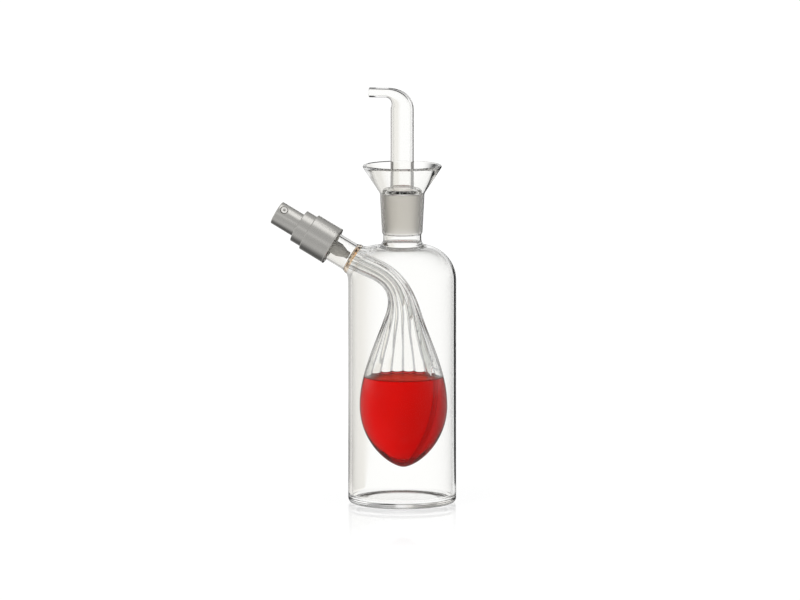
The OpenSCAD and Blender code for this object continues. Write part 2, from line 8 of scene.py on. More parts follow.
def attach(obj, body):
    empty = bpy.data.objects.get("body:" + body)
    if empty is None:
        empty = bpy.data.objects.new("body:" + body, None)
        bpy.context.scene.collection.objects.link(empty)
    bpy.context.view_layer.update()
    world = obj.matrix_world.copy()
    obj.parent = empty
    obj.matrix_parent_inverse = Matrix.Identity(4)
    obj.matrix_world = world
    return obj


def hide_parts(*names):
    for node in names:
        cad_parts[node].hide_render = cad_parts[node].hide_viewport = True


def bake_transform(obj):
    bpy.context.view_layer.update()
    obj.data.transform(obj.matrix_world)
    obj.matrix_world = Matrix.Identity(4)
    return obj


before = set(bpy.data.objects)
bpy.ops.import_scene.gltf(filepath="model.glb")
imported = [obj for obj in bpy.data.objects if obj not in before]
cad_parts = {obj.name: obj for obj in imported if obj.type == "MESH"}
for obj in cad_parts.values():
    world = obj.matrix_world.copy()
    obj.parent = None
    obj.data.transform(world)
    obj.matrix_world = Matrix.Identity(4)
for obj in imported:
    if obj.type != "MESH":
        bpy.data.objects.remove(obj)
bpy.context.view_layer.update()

mm = 0.001

# Places that several pieces share, in millimetres, as the solids have them
cruet = {
    "bodyRadius": 32.5, "bodyWall": 2.0, "bodyTop": 135.0, "shoulderRadius": 21.0,
    "neckRadius": 11.5, "neckBore": 10.0, "neckFillet": 4.0, "filletTop": 159.678,
    "jointLow": 163.5, "jointTop": 187.5, "jointRadius": 12.0, "jointTaper": 0.05,
    "sideHeight": 130.0, "sideTilt": 30.0, "sideRadius": 8.8, "sideBore": 7.0,
    "sealPlace": 34.411, "mouthPlace": 61.411, "flareEnd": 38.011, "flareCurve": 16.0,
}
tilt = math.radians(cruet["sideTilt"])
sideAxis = np.array((-math.cos(tilt), 0, math.sin(tilt)))
sideStart = np.array((0, 0, cruet["sideHeight"]))
upward, sideways, west = np.array((0.0, 0.0, 1.0)), np.array((0.0, 1.0, 0.0)), np.array((-1.0, 0.0, 0.0))


def pick(named, *keys):
    return [named[key] for key in keys]


def deselectAll():
    if bpy.context.object and bpy.context.object.mode != "OBJECT":
        bpy.ops.object.mode_set(mode="OBJECT")
    bpy.ops.object.select_all(action="DESELECT")


def take(piece):
    deselectAll()
    piece.select_set(True)
    bpy.context.view_layer.objects.active = piece
    return piece


def setPoints(piece, points):
    piece.data.vertices.foreach_set("co", np.asarray(points, np.float32).ravel())
    piece.data.update()


def getPoints(piece):
    points = np.zeros(len(piece.data.vertices) * 3, np.float32)
    piece.data.vertices.foreach_get("co", points)
    return points.reshape(-1, 3).astype(float)


def tidyMesh(piece, gap=0.002, smooth=40):
    # Doubles merged, loose edges gone, faces turned outward
    take(piece)
    bpy.ops.object.mode_set(mode="EDIT")
    bpy.ops.mesh.select_all(action="SELECT")
    bpy.ops.mesh.remove_doubles(threshold=gap * mm)
    bpy.ops.mesh.delete_loose(use_verts=True, use_edges=True, use_faces=False)
    bpy.ops.mesh.select_all(action="SELECT")
    bpy.ops.mesh.normals_make_consistent(inside=False)
    bpy.ops.object.mode_set(mode="OBJECT")
    bpy.ops.object.shade_smooth_by_angle(angle=math.radians(smooth))
    return piece


def arc(centre, radius, start, end, step=6):
    # Points of an arc in a section, angles in degrees
    count = max(2, math.ceil(abs(end - start) / step))
    angles = [math.radians(start + (end - start) * i / count) for i in range(count + 1)]
    return [(centre[0] + radius * math.cos(a), centre[1] + radius * math.sin(a)) for a in angles]


def rows(start, end, step):
    # Points along a straight stretch of a section
    count = max(1, round(math.dist(start, end) / step))
    return [tuple(a + (b - a) * i / count for a, b in zip(start, end)) for i in range(count + 1)]


def rounded(corners, step=15):
    # Section with rounded corners: each corner is radius, height and rounding
    outline = []
    for i, corner in enumerate(corners):
        here, rounding = Vector(corner[:2]), (corner[2] if len(corner) > 2 else 0)
        if not rounding:
            outline.append(tuple(here))
            continue
        back = Vector(corners[i - 1][:2]) - here
        ahead = Vector(corners[(i + 1) % len(corners)][:2]) - here
        half = back.angle(ahead) / 2
        reach = min(rounding / math.tan(half), 0.48 * back.length, 0.48 * ahead.length)
        radius = reach * math.tan(half)
        centre = here + (back.normalized() + ahead.normalized()).normalized() * radius / math.sin(half)
        first, last = here + back.normalized() * reach - centre, here + ahead.normalized() * reach - centre
        start = math.atan2(first.y, first.x)
        turn = (math.atan2(last.y, last.x) - start + math.pi) % (2 * math.pi) - math.pi
        count = max(2, math.ceil(abs(math.degrees(turn)) / step))
        outline += [(centre.x + radius * math.cos(start + turn * k / count),
                     centre.y + radius * math.sin(start + turn * k / count)) for k in range(count + 1)]
    return outline


def spinSection(name, outline, steps=96, smooth=40):
    # A ring of points becomes the section and is spun about the upright axis
    deselectAll()
    bpy.ops.mesh.primitive_circle_add(vertices=len(outline), radius=mm, fill_type="NOTHING")
    piece = bpy.context.object
    piece.name = piece.data.name = name
    setPoints(piece, [(r * mm, 0, z * mm) for r, z in outline])
    bpy.ops.object.mode_set(mode="EDIT")
    bpy.ops.mesh.select_all(action="SELECT")
    bpy.ops.mesh.spin(steps=steps, angle=2 * math.pi, center=(0, 0, 0), axis=(0, 0, 1))
    bpy.ops.object.mode_set(mode="OBJECT")
    return tidyMesh(piece, smooth=smooth)


def rippleGrid(name, ringList, closeRound=False, smooth=60):
    # A grid is wrapped into rings that follow one another, with a seam that is merged
    sides, count = len(ringList[0]), len(ringList)
    deselectAll()
    bpy.ops.mesh.primitive_grid_add(x_subdivisions=sides, y_subdivisions=count if closeRound else count - 1,
                                    size=mm)
    piece = bpy.context.object
    piece.name = piece.data.name = name
    ringArray = np.asarray(ringList + (ringList[:1] if closeRound else []), float)
    wrapped = np.concatenate((ringArray, ringArray[:, :1]), axis=1)
    setPoints(piece, wrapped.reshape(-1, 3) * mm)
    return tidyMesh(piece, smooth=smooth)


def ringAround(centre, heading, radii):
    # Ring square to its heading, with a radius for each point. The first lies on the inner side of the bend
    across, heading = np.cross(sideways, heading), heading / np.linalg.norm(heading)
    beside = np.cross(heading, across)
    angles = np.arange(len(radii)) * 2 * math.pi / len(radii)
    return [tuple(centre + r * (math.cos(a) * across + math.sin(a) * beside)) for a, r in zip(angles, radii)]


def sideMatrix(place):
    # From the upright axis to the side neck's
    return (Matrix.Translation(Vector(sideStart + place * sideAxis) * mm)
            @ Matrix.Rotation(tilt - math.pi / 2, 4, "Y"))


def alongSide(piece, place=0.0):
    piece.data.transform(sideMatrix(place))
    piece.data.update()
    return piece


def combine(piece, cutter, operation):
    # Boolean with a second solid, which is used up
    take(piece)
    change = piece.modifiers.new("combine", "BOOLEAN")
    change.operation, change.object, change.solver = operation, cutter, "EXACT"
    bpy.ops.object.modifier_apply(modifier=change.name)
    bpy.data.objects.remove(cutter)
    return tidyMesh(piece, gap=0.001)


def joinPieces(piece, others, gap=0.004):
    take(piece)
    for other in others:
        other.select_set(True)
    bpy.ops.object.join()
    return tidyMesh(piece, gap=gap)


def deleteFaces(piece, chosen):
    # Deletes the faces whose centre and normal the test picks, centre in millimetres
    take(piece)
    bpy.ops.object.mode_set(mode="EDIT")
    bpy.ops.mesh.select_mode(type="FACE")
    bpy.ops.mesh.select_all(action="DESELECT")
    bpy.ops.object.mode_set(mode="OBJECT")
    for polygon in piece.data.polygons:
        polygon.select = bool(chosen(np.array(polygon.center) / mm, np.array(polygon.normal)))
    bpy.ops.object.mode_set(mode="EDIT")
    bpy.ops.mesh.delete(type="FACE")
    bpy.ops.mesh.select_mode(type="VERT")
    bpy.ops.object.mode_set(mode="OBJECT")


def finishPiece(piece, body, slotName, *nodes):
    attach(piece, body)
    if nodes:
        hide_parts(*nodes)
    return piece


# The oil bottle: body, shoulder, neck and side neck come from solids that are fused and hollowed,
# then the spun funnel and the side neck's screw mouth are joined on
bottle = {"spinSteps": 128, "sideSteps": 96, "cutHeight": 175.0, "sideCut": 48.0, "socketRadius": 12.2,
          "rimCentre": (22.6, 203.5), "rimRadius": 1.1, "weldSoftness": 3.0, "weldReach": 1.05, "weldRounds": 5,
          "weldStep": 0.01, "flareStart": 27.0, "boreFlare": 1.8, "threadPitch": 3.175, "threadHeight": 0.85,
          "threadTurns": 1.6, "threadTop": 3.4, "pushUp": 0.5, "beadHeight": 0.55, "beadWidth": 1.05,
          "beadPlace": 0.3, "beadSide": -14.0, "floorMiddle": 3.5, "floor": 3.0, "neckFrom": 150.0, "farAway": 99.0,
          "weldFrom": 15.0, "weldSide": -6.0}


def softLeast(a, b, width):
    share = np.clip(0.5 + 0.5 * (b - a) / width, 0, 1)
    return b + (a - b) * share - width * share * (1 - share)


def fromSideAxis(points):
    # How far along the side neck's axis each point is, and its way out from the axis
    away = points - sideStart
    s = away @ sideAxis
    return s, away - s[:, None] * sideAxis


def bodyDistance(points, wall):
    # Distance from the bottle's turned skin, inset by the wall
    r, z = np.hypot(points[:, 0], points[:, 1]), points[:, 2]
    inner = cruet["bodyRadius"] - cruet["shoulderRadius"]
    dome = np.hypot(np.maximum(r - inner, 0), z - cruet["bodyTop"]) - (cruet["shoulderRadius"] - wall)
    skin = np.where(z > cruet["bodyTop"], dome, r - (cruet["bodyRadius"] - wall))
    if wall:
        return skin
    fillet = cruet["neckFillet"]
    centreR, centreZ = cruet["neckRadius"] + fillet, cruet["filletTop"]
    curve = fillet - np.hypot(centreR - r, centreZ - z)
    neck = np.where((z < centreZ) & (r < centreR), curve, r - cruet["neckRadius"])
    return np.minimum(skin, np.where(z > bottle["neckFrom"], neck, bottle["farAway"]))


def sideDistance(points, radius, curve):
    # Distance from the side neck with its weld flare, which begins inside the body
    s, beside = fromSideAxis(points)
    rho = np.linalg.norm(beside, axis=1)
    end, start = cruet["flareEnd"], bottle["flareStart"]
    reach = np.hypot(rho - (radius + curve), s - end)
    footRadius = radius + curve - math.sqrt(curve ** 2 - (end - start) ** 2)
    foot = np.where(rho < footRadius, start - s, np.hypot(s - start, rho - footRadius))
    past = (s < start) | (rho > radius + curve) | ((end - s) * curve > (end - start) * reach)
    return np.where(s > end, rho - radius, np.where(past, foot, curve - reach))


def weldField(points, wall, radius, curve):
    return softLeast(bodyDistance(points, wall), sideDistance(points, radius, curve), bottle["weldSoftness"])


def softenWeld(piece, wall, radius, curve):
    # Lays the points near the weld on the soft blend of both skins, a little nearer in each round
    points = getPoints(piece) / mm
    width = bottle["weldSoftness"] * bottle["weldReach"]
    near = ((np.abs(bodyDistance(points, wall)) < width) & (np.abs(sideDistance(points, radius, curve)) < width)
            & ((points - sideStart) @ sideAxis > bottle["weldFrom"]) & (points[:, 0] < bottle["weldSide"]))
    chosen, step = points[near], bottle["weldStep"]
    for _ in range(bottle["weldRounds"]):
        field = weldField(chosen, wall, radius, curve)
        slope = np.stack([(weldField(chosen + step * np.eye(3)[k], wall, radius, curve) - field) / step
                          for k in range(3)], axis=1)
        chosen = chosen - (field / np.maximum((slope ** 2).sum(1), 0.2))[:, None] * slope
    points[near] = chosen
    setPoints(piece, points * mm)


def raiseBead(piece):
    # The seal's ring stands proud of the side neck as a soft bead
    points = getPoints(piece) / mm
    s, beside = fromSideAxis(points)
    rho = np.linalg.norm(beside, axis=1)
    radius = cruet["sideRadius"]
    near = (rho > radius - 0.3) & (rho < radius + 2.2) & (points[:, 0] < bottle["beadSide"])
    offCentre = (s - cruet["sealPlace"] - bottle["beadPlace"]) / bottle["beadWidth"]
    rise = bottle["beadHeight"] * np.exp(-offCentre ** 2) * near
    points += (rise / np.maximum(rho, 1e-6))[:, None] * beside
    setPoints(piece, points * mm)


def raiseThread(piece, radius, height, first, ridgeWidth, crest, span, fadeRun):
    # Raises a helix on the skin of that radius, outward or inward, with a fade at both ends of its span in turns
    points = getPoints(piece) / mm
    r = np.hypot(points[:, 0], points[:, 1])
    turn = np.arctan2(points[:, 1], points[:, 0]) / (2 * math.pi)
    run = (points[:, 2] - first) / bottle["threadPitch"] - turn
    nearest = np.round(run)
    along = nearest + turn
    ridge = np.clip(crest - np.abs(run - nearest) * bottle["threadPitch"] / ridgeWidth, 0, 1)
    fade = np.clip((along - span[0]) / fadeRun, 0, 1) * np.clip((span[1] - along) / fadeRun, 0, 1)
    rise = height * ridge * ridge * (3 - 2 * ridge) * fade * (np.abs(r - radius) < 0.05)
    points[:, :2] *= ((r + rise) / np.maximum(r, 1e-6))[:, None]
    setPoints(piece, points * mm)


def flareOutline(radius, curve, end):
    # Solid section of the side neck with its weld flare, with a row of points where it is cut
    start, flareEnd = bottle["flareStart"], cruet["flareEnd"]
    low = math.degrees(math.asin((flareEnd - start) / curve))
    return ([(0, start)] + arc((radius + curve, flareEnd), curve, 180 + low, 180, 1.4)
            + rows((radius, flareEnd + 1), (radius, bottle["sideCut"]), 1.5) + [(radius, end), (0, end)])


def tangentPoint(start, centre, radius, side):
    gap = (centre[0] - start[0], centre[1] - start[1])
    length = math.hypot(*gap)
    heading = math.atan2(gap[1], gap[0]) + side * math.asin(radius / length)
    reach = math.sqrt(length ** 2 - radius ** 2)
    return (start[0] + reach * math.cos(heading), start[1] + reach * math.sin(heading))


def wallRows(radius):
    # The body's upright wall, with close rows where the side neck is welded on
    return rows((radius, 60), (radius, 116), 28) + rows((radius, 117.3), (radius, 133.7), 1.3)


def socketRadii():
    # The socket's outer and inner radius at its foot, then at the cut
    outer = bottle["socketRadius"]
    inner = cruet["jointRadius"] - (cruet["jointTop"] - cruet["jointLow"]) * cruet["jointTaper"]
    grow = (bottle["cutHeight"] - cruet["jointLow"]) * cruet["jointTaper"]
    return outer, inner, outer + grow, inner + grow


def buildBody():
    # The hollow is cut from the solid, each fused with its share of the side neck. Both ends are left open
    c, cut, cutEnd = cruet, bottle["cutHeight"], bottle["sideCut"]
    radius, bore, pushUp = c["bodyRadius"], c["bodyRadius"] - c["bodyWall"], bottle["pushUp"]
    shoulderIn, neckLine = radius - c["shoulderRadius"], c["neckRadius"] + c["neckFillet"]
    outerLow, innerLow, outerCut, innerCut = socketRadii()
    domeEnd = math.degrees(math.atan2(c["filletTop"] - c["bodyTop"], neckLine - shoulderIn))
    outside = ([(0, pushUp)]
               + rounded([(6, pushUp), (21, 0.45, 8), (26.5, 0, 4), (radius, 0, 3.2), (radius, 20)], 8)[1:]
               + wallRows(radius) + arc((shoulderIn, c["bodyTop"]), c["shoulderRadius"], 0, domeEnd, 2.6)
               + arc((neckLine, c["filletTop"]), c["neckFillet"], 180 + domeEnd, 180, 8)[1:]
               + rounded([(c["neckRadius"], 161), (c["neckRadius"], 162.6, 1.6), (outerLow, 163.9, 1.6),
                          (outerCut, cut)], 12)[1:] + [(outerCut, cut + 2), (0, cut + 2)])
    middle, floor = pick(bottle, "floorMiddle", "floor")
    inside = ([(0, middle)] + rounded([(8, middle), (22, floor, 10), (bore, floor, 3.0), (bore, 20)], 8)[1:]
              + wallRows(bore) + arc((shoulderIn, c["bodyTop"]), c["shoulderRadius"] - c["bodyWall"], 0, 84, 2.6)
              + rounded([(12.2, 154), (c["neckBore"], 154.2, 1.6), (c["neckBore"], 162.6, 0.8),
                         (innerLow, c["jointLow"], 0.5), (innerCut, cut), (innerCut, cut + 4)], 12)[1:]
              + [(0, cut + 4)])

    def fused(name, outline, wall, sideName, sideRadius, curve, end):
        solid = spinSection(name, outline, bottle["spinSteps"])
        side = spinSection(sideName, flareOutline(sideRadius, curve, end), bottle["sideSteps"])
        combine(solid, alongSide(side), "UNION")
        softenWeld(solid, wall, sideRadius, curve)
        return solid

    piece = fused("bottleGlass", outside, 0, "neckSolid", c["sideRadius"], c["flareCurve"], cutEnd + 2)
    raiseBead(piece)
    hollow = fused("hollow", inside, c["bodyWall"], "boreSolid", c["sideBore"],
                   c["flareCurve"] + bottle["boreFlare"], cutEnd + 4)
    combine(piece, hollow, "DIFFERENCE")
    deleteFaces(piece, lambda p, n: p[2] > cut + 0.01 or (p - sideStart) @ sideAxis > cutEnd + 0.01)
    return piece


def buildFunnel():
    # Upper socket and funnel, up to the melted rim
    cut, centre, rim = bottle["cutHeight"], bottle["rimCentre"], bottle["rimRadius"]
    outerCut, innerCut = socketRadii()[2:]
    outerTop, innerTop = (13.4, cruet["jointTop"]), (cruet["jointRadius"], cruet["jointTop"])
    outerRim, innerRim = tangentPoint(outerTop, centre, rim, -1), tangentPoint(innerTop, centre, rim, 1)
    startAngle, endAngle = (math.degrees(math.atan2(point[1] - centre[1], point[0] - centre[0]))
                            for point in (outerRim, innerRim))
    outline = (rounded([(outerCut, cut), (*outerTop, 2.5), outerRim], 10)
               + arc(centre, rim, startAngle, endAngle, 20)[1:]
               + rounded([innerRim, (*innerTop, 1.2), (innerCut, cut)], 10)[1:])
    piece = spinSection("funnel", outline, bottle["spinSteps"])
    deleteFaces(piece, lambda p, n: abs(p[2] - cut) < 0.01)
    return piece


def buildMouth():
    # Screw mouth of the side neck
    radius, bore, mouth = pick(cruet, "sideRadius", "sideBore", "mouthPlace")
    low = bottle["sideCut"]
    lip = rounded([(radius, mouth - 0.8), (radius, mouth, 0.7), (bore, mouth, 0.6), (bore, mouth - 1)], 20)[1:-1]
    outline = rows((radius, low), (radius, mouth - 0.8), 0.32) + lip + rows((bore, mouth - 1), (bore, low), 2)
    piece = spinSection("mouth", outline, bottle["sideSteps"])
    deleteFaces(piece, lambda p, n: abs(p[2] - low) < 0.01 and abs(n[2]) > 0.9)
    pitch, turns = pick(bottle, "threadPitch", "threadTurns")
    raiseThread(piece, radius, bottle["threadHeight"], first=mouth - bottle["threadTop"] - pitch * turns,
                ridgeWidth=0.75, crest=1.35, span=(0, turns), fadeRun=0.12)
    return alongSide(piece)


bottleGlass = finishPiece(joinPieces(buildBody(), [buildFunnel(), buildMouth()]), "bottle", "clear_glass",
                          "outer_bottle")
print("bottle glass:", len(bottleGlass.data.polygons), "faces")

# The vinegar vessel: an optic-blown teardrop whose ribs run up its bent neck to the seal
vessel = {"centre": 0.8, "widest": 59.0, "radius": 26.4, "neckRadius": 6.4, "depth": 37.6, "taper": 80.0,
          "wall": 1.6, "straight": 53.0, "pullUp": 28.0, "pullOut": 12.0, "tipPower": 1.29, "ribs": 20,
          "ribHeight": 0.2, "ribShare": 0.028, "pointsPerRib": 12, "lipLength": 2.4, "ribLow": 0.1,
          "ribFadeLow": 78.0, "ribFadeHigh": 92.0, "lowThinning": 0.35, "rowPower": 1.15, "leastRadius": 0.12,
          "lipOverlap": 0.5, "lipRound": 0.35, "lipGrow": 1.9, "lipInner": 6.9, "lipSteps": 6}


def onSide(s):
    return sideStart + s * sideAxis


lipPlace = cruet["sealPlace"] - vessel["lipLength"] / 2
bendLine = [np.array((vessel["centre"], 0, vessel["widest"] + vessel["straight"])),
            np.array((vessel["centre"], 0, vessel["widest"] + vessel["straight"] + vessel["pullUp"])),
            onSide(lipPlace - vessel["pullOut"]), onSide(lipPlace)]


def bendPoint(t, line=None):
    a, b, c, d = line or bendLine
    return (1 - t) ** 3 * a + 3 * t * (1 - t) ** 2 * b + 3 * t * t * (1 - t) * c + t ** 3 * d


def bendHeading(t, line=None):
    a, b, c, d = line or bendLine
    heading = (1 - t) ** 2 * (b - a) + 2 * t * (1 - t) * (c - b) + t * t * (d - c)
    return heading / np.linalg.norm(heading)


def taperRadius(run):
    # The vessel's outer radius a way up from its widest ring
    swell = math.cos(math.pi / 2 * min(run / vessel["taper"], 1)) ** 2
    return vessel["neckRadius"] + (vessel["radius"] - vessel["neckRadius"]) * swell


def innerRadius(radius, lowShare):
    return radius - vessel["wall"] * (1 - vessel["lowThinning"] * lowShare)


def smoothShare(share):
    share = min(max(share, 0), 1)
    return share * share * (3 - 2 * share)


def vesselStations(lowSteps=34, straightSteps=36, bendSteps=56):
    # Centre, heading, outer radius and the share of the wall that lies under it, from the tip to the lip
    v = vessel
    stations = []
    for i in range(1, lowSteps + 1):
        angle = math.radians(90 - 90 * (i / lowSteps) ** v["rowPower"])
        stations.append(((v["centre"], 0, v["widest"] - v["depth"] * math.sin(angle)), upward,
                         v["radius"] * math.cos(angle) ** v["tipPower"], math.sin(angle)))
    for i in range(1, straightSteps + 1):
        run = v["straight"] * i / straightSteps
        stations.append(((v["centre"], 0, v["widest"] + run), upward, taperRadius(run), 0))
    run, before = v["straight"], bendPoint(0)
    for i in range(1, bendSteps + 1):
        t = i / bendSteps
        here = bendPoint(t)
        run, before = run + np.linalg.norm(here - before), here
        stations.append((tuple(here), bendHeading(t), taperRadius(run), 0))
    return stations


def flareInside(s):
    curve = cruet["flareCurve"] + bottle["boreFlare"]
    return cruet["sideBore"] + curve - math.sqrt(curve ** 2 - (cruet["flareEnd"] - s) ** 2)


def ribbedRing(centre, heading, radius, ribHeight=0):
    sides = vessel["ribs"] * vessel["pointsPerRib"]
    angles = np.arange(sides) * 2 * math.pi / sides
    fromCrest = np.abs((vessel["ribs"] * angles / (2 * math.pi) + 0.5) % 1 - 0.5) * 2
    return ringAround(np.array(centre), heading, radius + ribHeight * (1 - 2 * fromCrest ** 2))


def buildVessel():
    v = vessel
    outer, inner = [], []
    for centre, heading, radius, lowShare in vesselStations():
        # The ribs are faint in the vinegar and grow above it
        grown = smoothShare((centre[2] - v["ribFadeLow"]) / (v["ribFadeHigh"] - v["ribFadeLow"]))
        rib = (v["ribLow"] + (1 - v["ribLow"]) * grown) * min(v["ribHeight"], v["ribShare"] * radius)
        outer.append(ribbedRing(centre, heading, radius, rib))
        inner.append(ribbedRing(np.array(centre) + v["wall"] * lowShare * upward, heading,
                                max(innerRadius(radius, lowShare), v["leastRadius"])))
    # The lip flares to meet the side neck's wall
    end, neck, steps = lipPlace + v["lipLength"], v["neckRadius"], v["lipSteps"]
    topRadius = flareInside(end) + v["lipOverlap"]
    for i in range(1, steps + 1):
        place, share = onSide(lipPlace + v["lipLength"] * i / steps), (i / steps) ** 2
        rib = v["ribShare"] * neck * (1 - i / steps)
        outer.append(ribbedRing(place, sideAxis, neck + (topRadius - neck) * share, rib))
        inner.append(ribbedRing(place, sideAxis, neck - v["wall"] + v["lipGrow"] * share))
    middle = [ribbedRing(onSide(end + v["lipRound"]), sideAxis, radius)
              for radius in (topRadius - v["lipOverlap"], v["lipInner"])]
    first, last = ([ribbedRing((v["centre"], 0, v["widest"] - v["depth"] + rise), upward, 0)]
                   for rise in (0, v["wall"]))
    v["ribbedShare"] = (len(outer) + 1) / (len(first + outer + middle + inner + last) - 1)
    return rippleGrid("vesselGlass", first + outer + middle + inner[::-1] + last)


vesselGlass = finishPiece(buildVessel(), "bottle", "ribbed_glass", "inner_vessel")
print("vessel glass:", len(vesselGlass.data.polygons), "faces")

# The dip tube's way: it leaves the bent neck, bows against the vessel's side and ends over the tip
dipTube = {"radius": 1.5, "wall": 0.6, "sides": 24, "topPlace": -19.25, "leave": 0.33, "pull": 38.0, "bow": 0.95,
           "bowOver": 4.0, "foot": 0.08, "low": 27.0}
leavePoint = bendPoint(dipTube["leave"])
bowLine = [leavePoint, leavePoint - dipTube["pull"] * bendHeading(dipTube["leave"]),
           np.array((vessel["centre"] + dipTube["bow"] * vessel["radius"], 0, vessel["widest"] + dipTube["bowOver"])),
           np.array((vessel["centre"] + dipTube["foot"] * vessel["radius"], 0, dipTube["low"]))]


def bowStations(steps=32):
    # From the foot up to where the tube enters the neck
    return [(bendPoint(1 - i / steps, bowLine), -bendHeading(1 - i / steps, bowLine)) for i in range(steps + 1)]


def rodRings(stations, radius, sides):
    return [ringAround(centre, heading, [radius] * sides) for centre, heading in stations]


# The vinegar wets the wall and the dip tube, so its skin lies just inside theirs and no air shows between
liquid = {"level": 75.7, "climb": 0.9, "reach": 2.4, "channel": 1.45, "column": 0.94, "columnTop": 78.0,
          "footGap": 0.1, "wallOverlap": 0.05, "besideTube": 1.6, "climbPower": 2.6, "leastRadius": 0.6}


def buildVinegar():
    v, level, overlap = vessel, liquid["level"], liquid["wallOverlap"]
    wallLine = [(innerRadius(radius, lowShare) + overlap, centre[2] + v["wall"] * lowShare)
                for centre, heading, radius, lowShare in vesselStations() if centre[2] < level]
    wallLine = [point for point in wallLine if point[0] > liquid["leastRadius"]]
    # The meniscus climbs the wall
    edge = taperRadius(level + liquid["climb"] - v["widest"]) - v["wall"] + overlap
    curve = [(edge - liquid["reach"] * k / 8, level + liquid["climb"] * (1 - k / 8) ** liquid["climbPower"])
             for k in range(9)]
    outline = [(0, wallLine[0][1] - 0.06)] + wallLine + curve + [(12, level), (0, level)]
    piece = spinSection("vinegarFill", outline, 144, smooth=50)
    piece.data.transform(Matrix.Translation((v["centre"] * mm, 0, 0)))
    stations, sides = bowStations(), dipTube["sides"]
    foot, heading = stations[0]
    below = foot - liquid["footGap"] * heading
    rings = rodRings([(below, heading)] + stations[1:], liquid["channel"], sides)
    tubePlace = rippleGrid("tubePlace", [[tuple(below)] * sides] + rings + [[tuple(leavePoint)] * sides])
    combine(piece, tubePlace, "DIFFERENCE")
    # The vinegar that stands in the tube
    wet = [station for station in stations if station[0][2] < liquid["columnTop"]]
    column = [[tuple(wet[0][0])] * sides] + rodRings(wet, liquid["column"], sides) + [[tuple(wet[-1][0])] * sides]
    piece = joinPieces(piece, [rippleGrid("tubeFill", column)], gap=0.001)
    # The skin that lies against the tube, which takes no more colour from the light
    line = np.array([place for place, heading in bowStations(240)])
    marks = piece.data.attributes.new("besideTube", "FLOAT", "FACE")
    for face in piece.data.polygons:
        away = np.linalg.norm(line - np.array(face.center) / mm, axis=1).min()
        marks.data[face.index].value = away < liquid["besideTube"]
    return piece


vinegarFill = finishPiece(buildVinegar(), "bottle", "vinegar", "vinegar")
print("vinegar:", len(vinegarFill.data.polygons), "faces")

# The stopper: ground cone, crown and tube, then a bend that is drawn down into the spout
stopper = {"sides": 72, "gap": 0.05, "coneWall": 1.6, "coneLow": 164.5, "crown": 3.4, "tubeRadius": 7.0,
           "tubeWall": 1.5, "tubeTop": 238.0, "rise": 10.0, "reach": 10.0, "spoutRadius": 3.0,
           "spoutWall": 1.0, "spoutTip": 20.2, "bendSteps": 36}


def buildStopper():
    p, c = stopper, cruet
    topRadius = c["jointRadius"] - p["gap"]
    lowRadius = topRadius - (c["jointTop"] - p["coneLow"]) * c["jointTaper"]
    crownTop = c["jointTop"] + p["crown"]
    low, wall, tubeRadius, tubeWall = pick(p, "coneLow", "coneWall", "tubeRadius", "tubeWall")
    tubeBore = tubeRadius - tubeWall
    outerLine = rounded([(lowRadius - 0.6, low), (lowRadius, low, 0.45),
                         (topRadius, c["jointTop"] + 0.2, 1.0), (topRadius - 0.3, crownTop - 0.3, 3.2),
                         (tubeRadius, crownTop + 0.2, 1.6), (tubeRadius, crownTop + 4)], 10)
    innerLine = rounded([(lowRadius - 1.0, low), (lowRadius - wall, low, 0.45),
                         (topRadius - wall, c["jointTop"], 2.4), (tubeBore, crownTop - 1.2, 1.6),
                         (tubeBore, crownTop + 4)], 10)
    # The same bend as in the solid, in finer steps
    spoutHeight = p["tubeTop"] + p["rise"]
    line = [np.array(point, float) for point in ((0, 0, p["tubeTop"]), (0, 0, p["tubeTop"] + 0.6 * p["rise"]),
                                                 (-0.45 * p["reach"], 0, spoutHeight), (-p["reach"], 0, spoutHeight))]
    stations = [((0, 0, z), upward, tubeRadius, tubeWall) for z in (205, 225, p["tubeTop"] - 2)]
    for i in range(p["bendSteps"] + 1):
        t = i / p["bendSteps"]
        share = smoothShare(t)
        radius = tubeRadius + (p["spoutRadius"] - tubeRadius) * share
        thick = tubeWall + (p["spoutWall"] - tubeWall) * share + 0.5 * math.sin(math.pi * t) ** 2
        stations.append((bendPoint(t, line), bendHeading(t, line), radius, thick))
    tip = -p["spoutTip"]
    stations += [((x, 0, spoutHeight), west, radius, thick) for x, radius, thick in (
        (-14, 3, 1), (tip + 0.5, 3, 1), (tip + 0.12, 2.88, 0.88), (tip, 2.68, 0.5))]
    outer = ([((0, 0, z), upward, r) for r, z in outerLine]
             + [(centre, heading, radius) for centre, heading, radius, thick in stations])
    inner = ([((0, 0, z), upward, r) for r, z in innerLine]
             + [(centre, heading, radius - thick) for centre, heading, radius, thick in stations])
    rings = [ringAround(centre, heading, [radius] * p["sides"]) for centre, heading, radius in outer + inner[::-1]]
    return rippleGrid("stopperGlass", rings, closeRound=True, smooth=70)


stopperGlass = finishPiece(buildStopper(), "stopper", "stopper_glass", "pour_stopper")
print("stopper glass:", len(stopperGlass.data.polygons), "faces")

# Drawn aluminium collar: skirt with a rolled lip, domed shoulder and step ring
collar = {"radius": 11.9, "stepRadius": 10.3, "sheet": 0.5, "skirt": 12.5, "shellTop": 4.5, "stepTop": 11.7,
          "holeRadius": 7.7, "corner": 0.55, "lipRoll": 0.32}


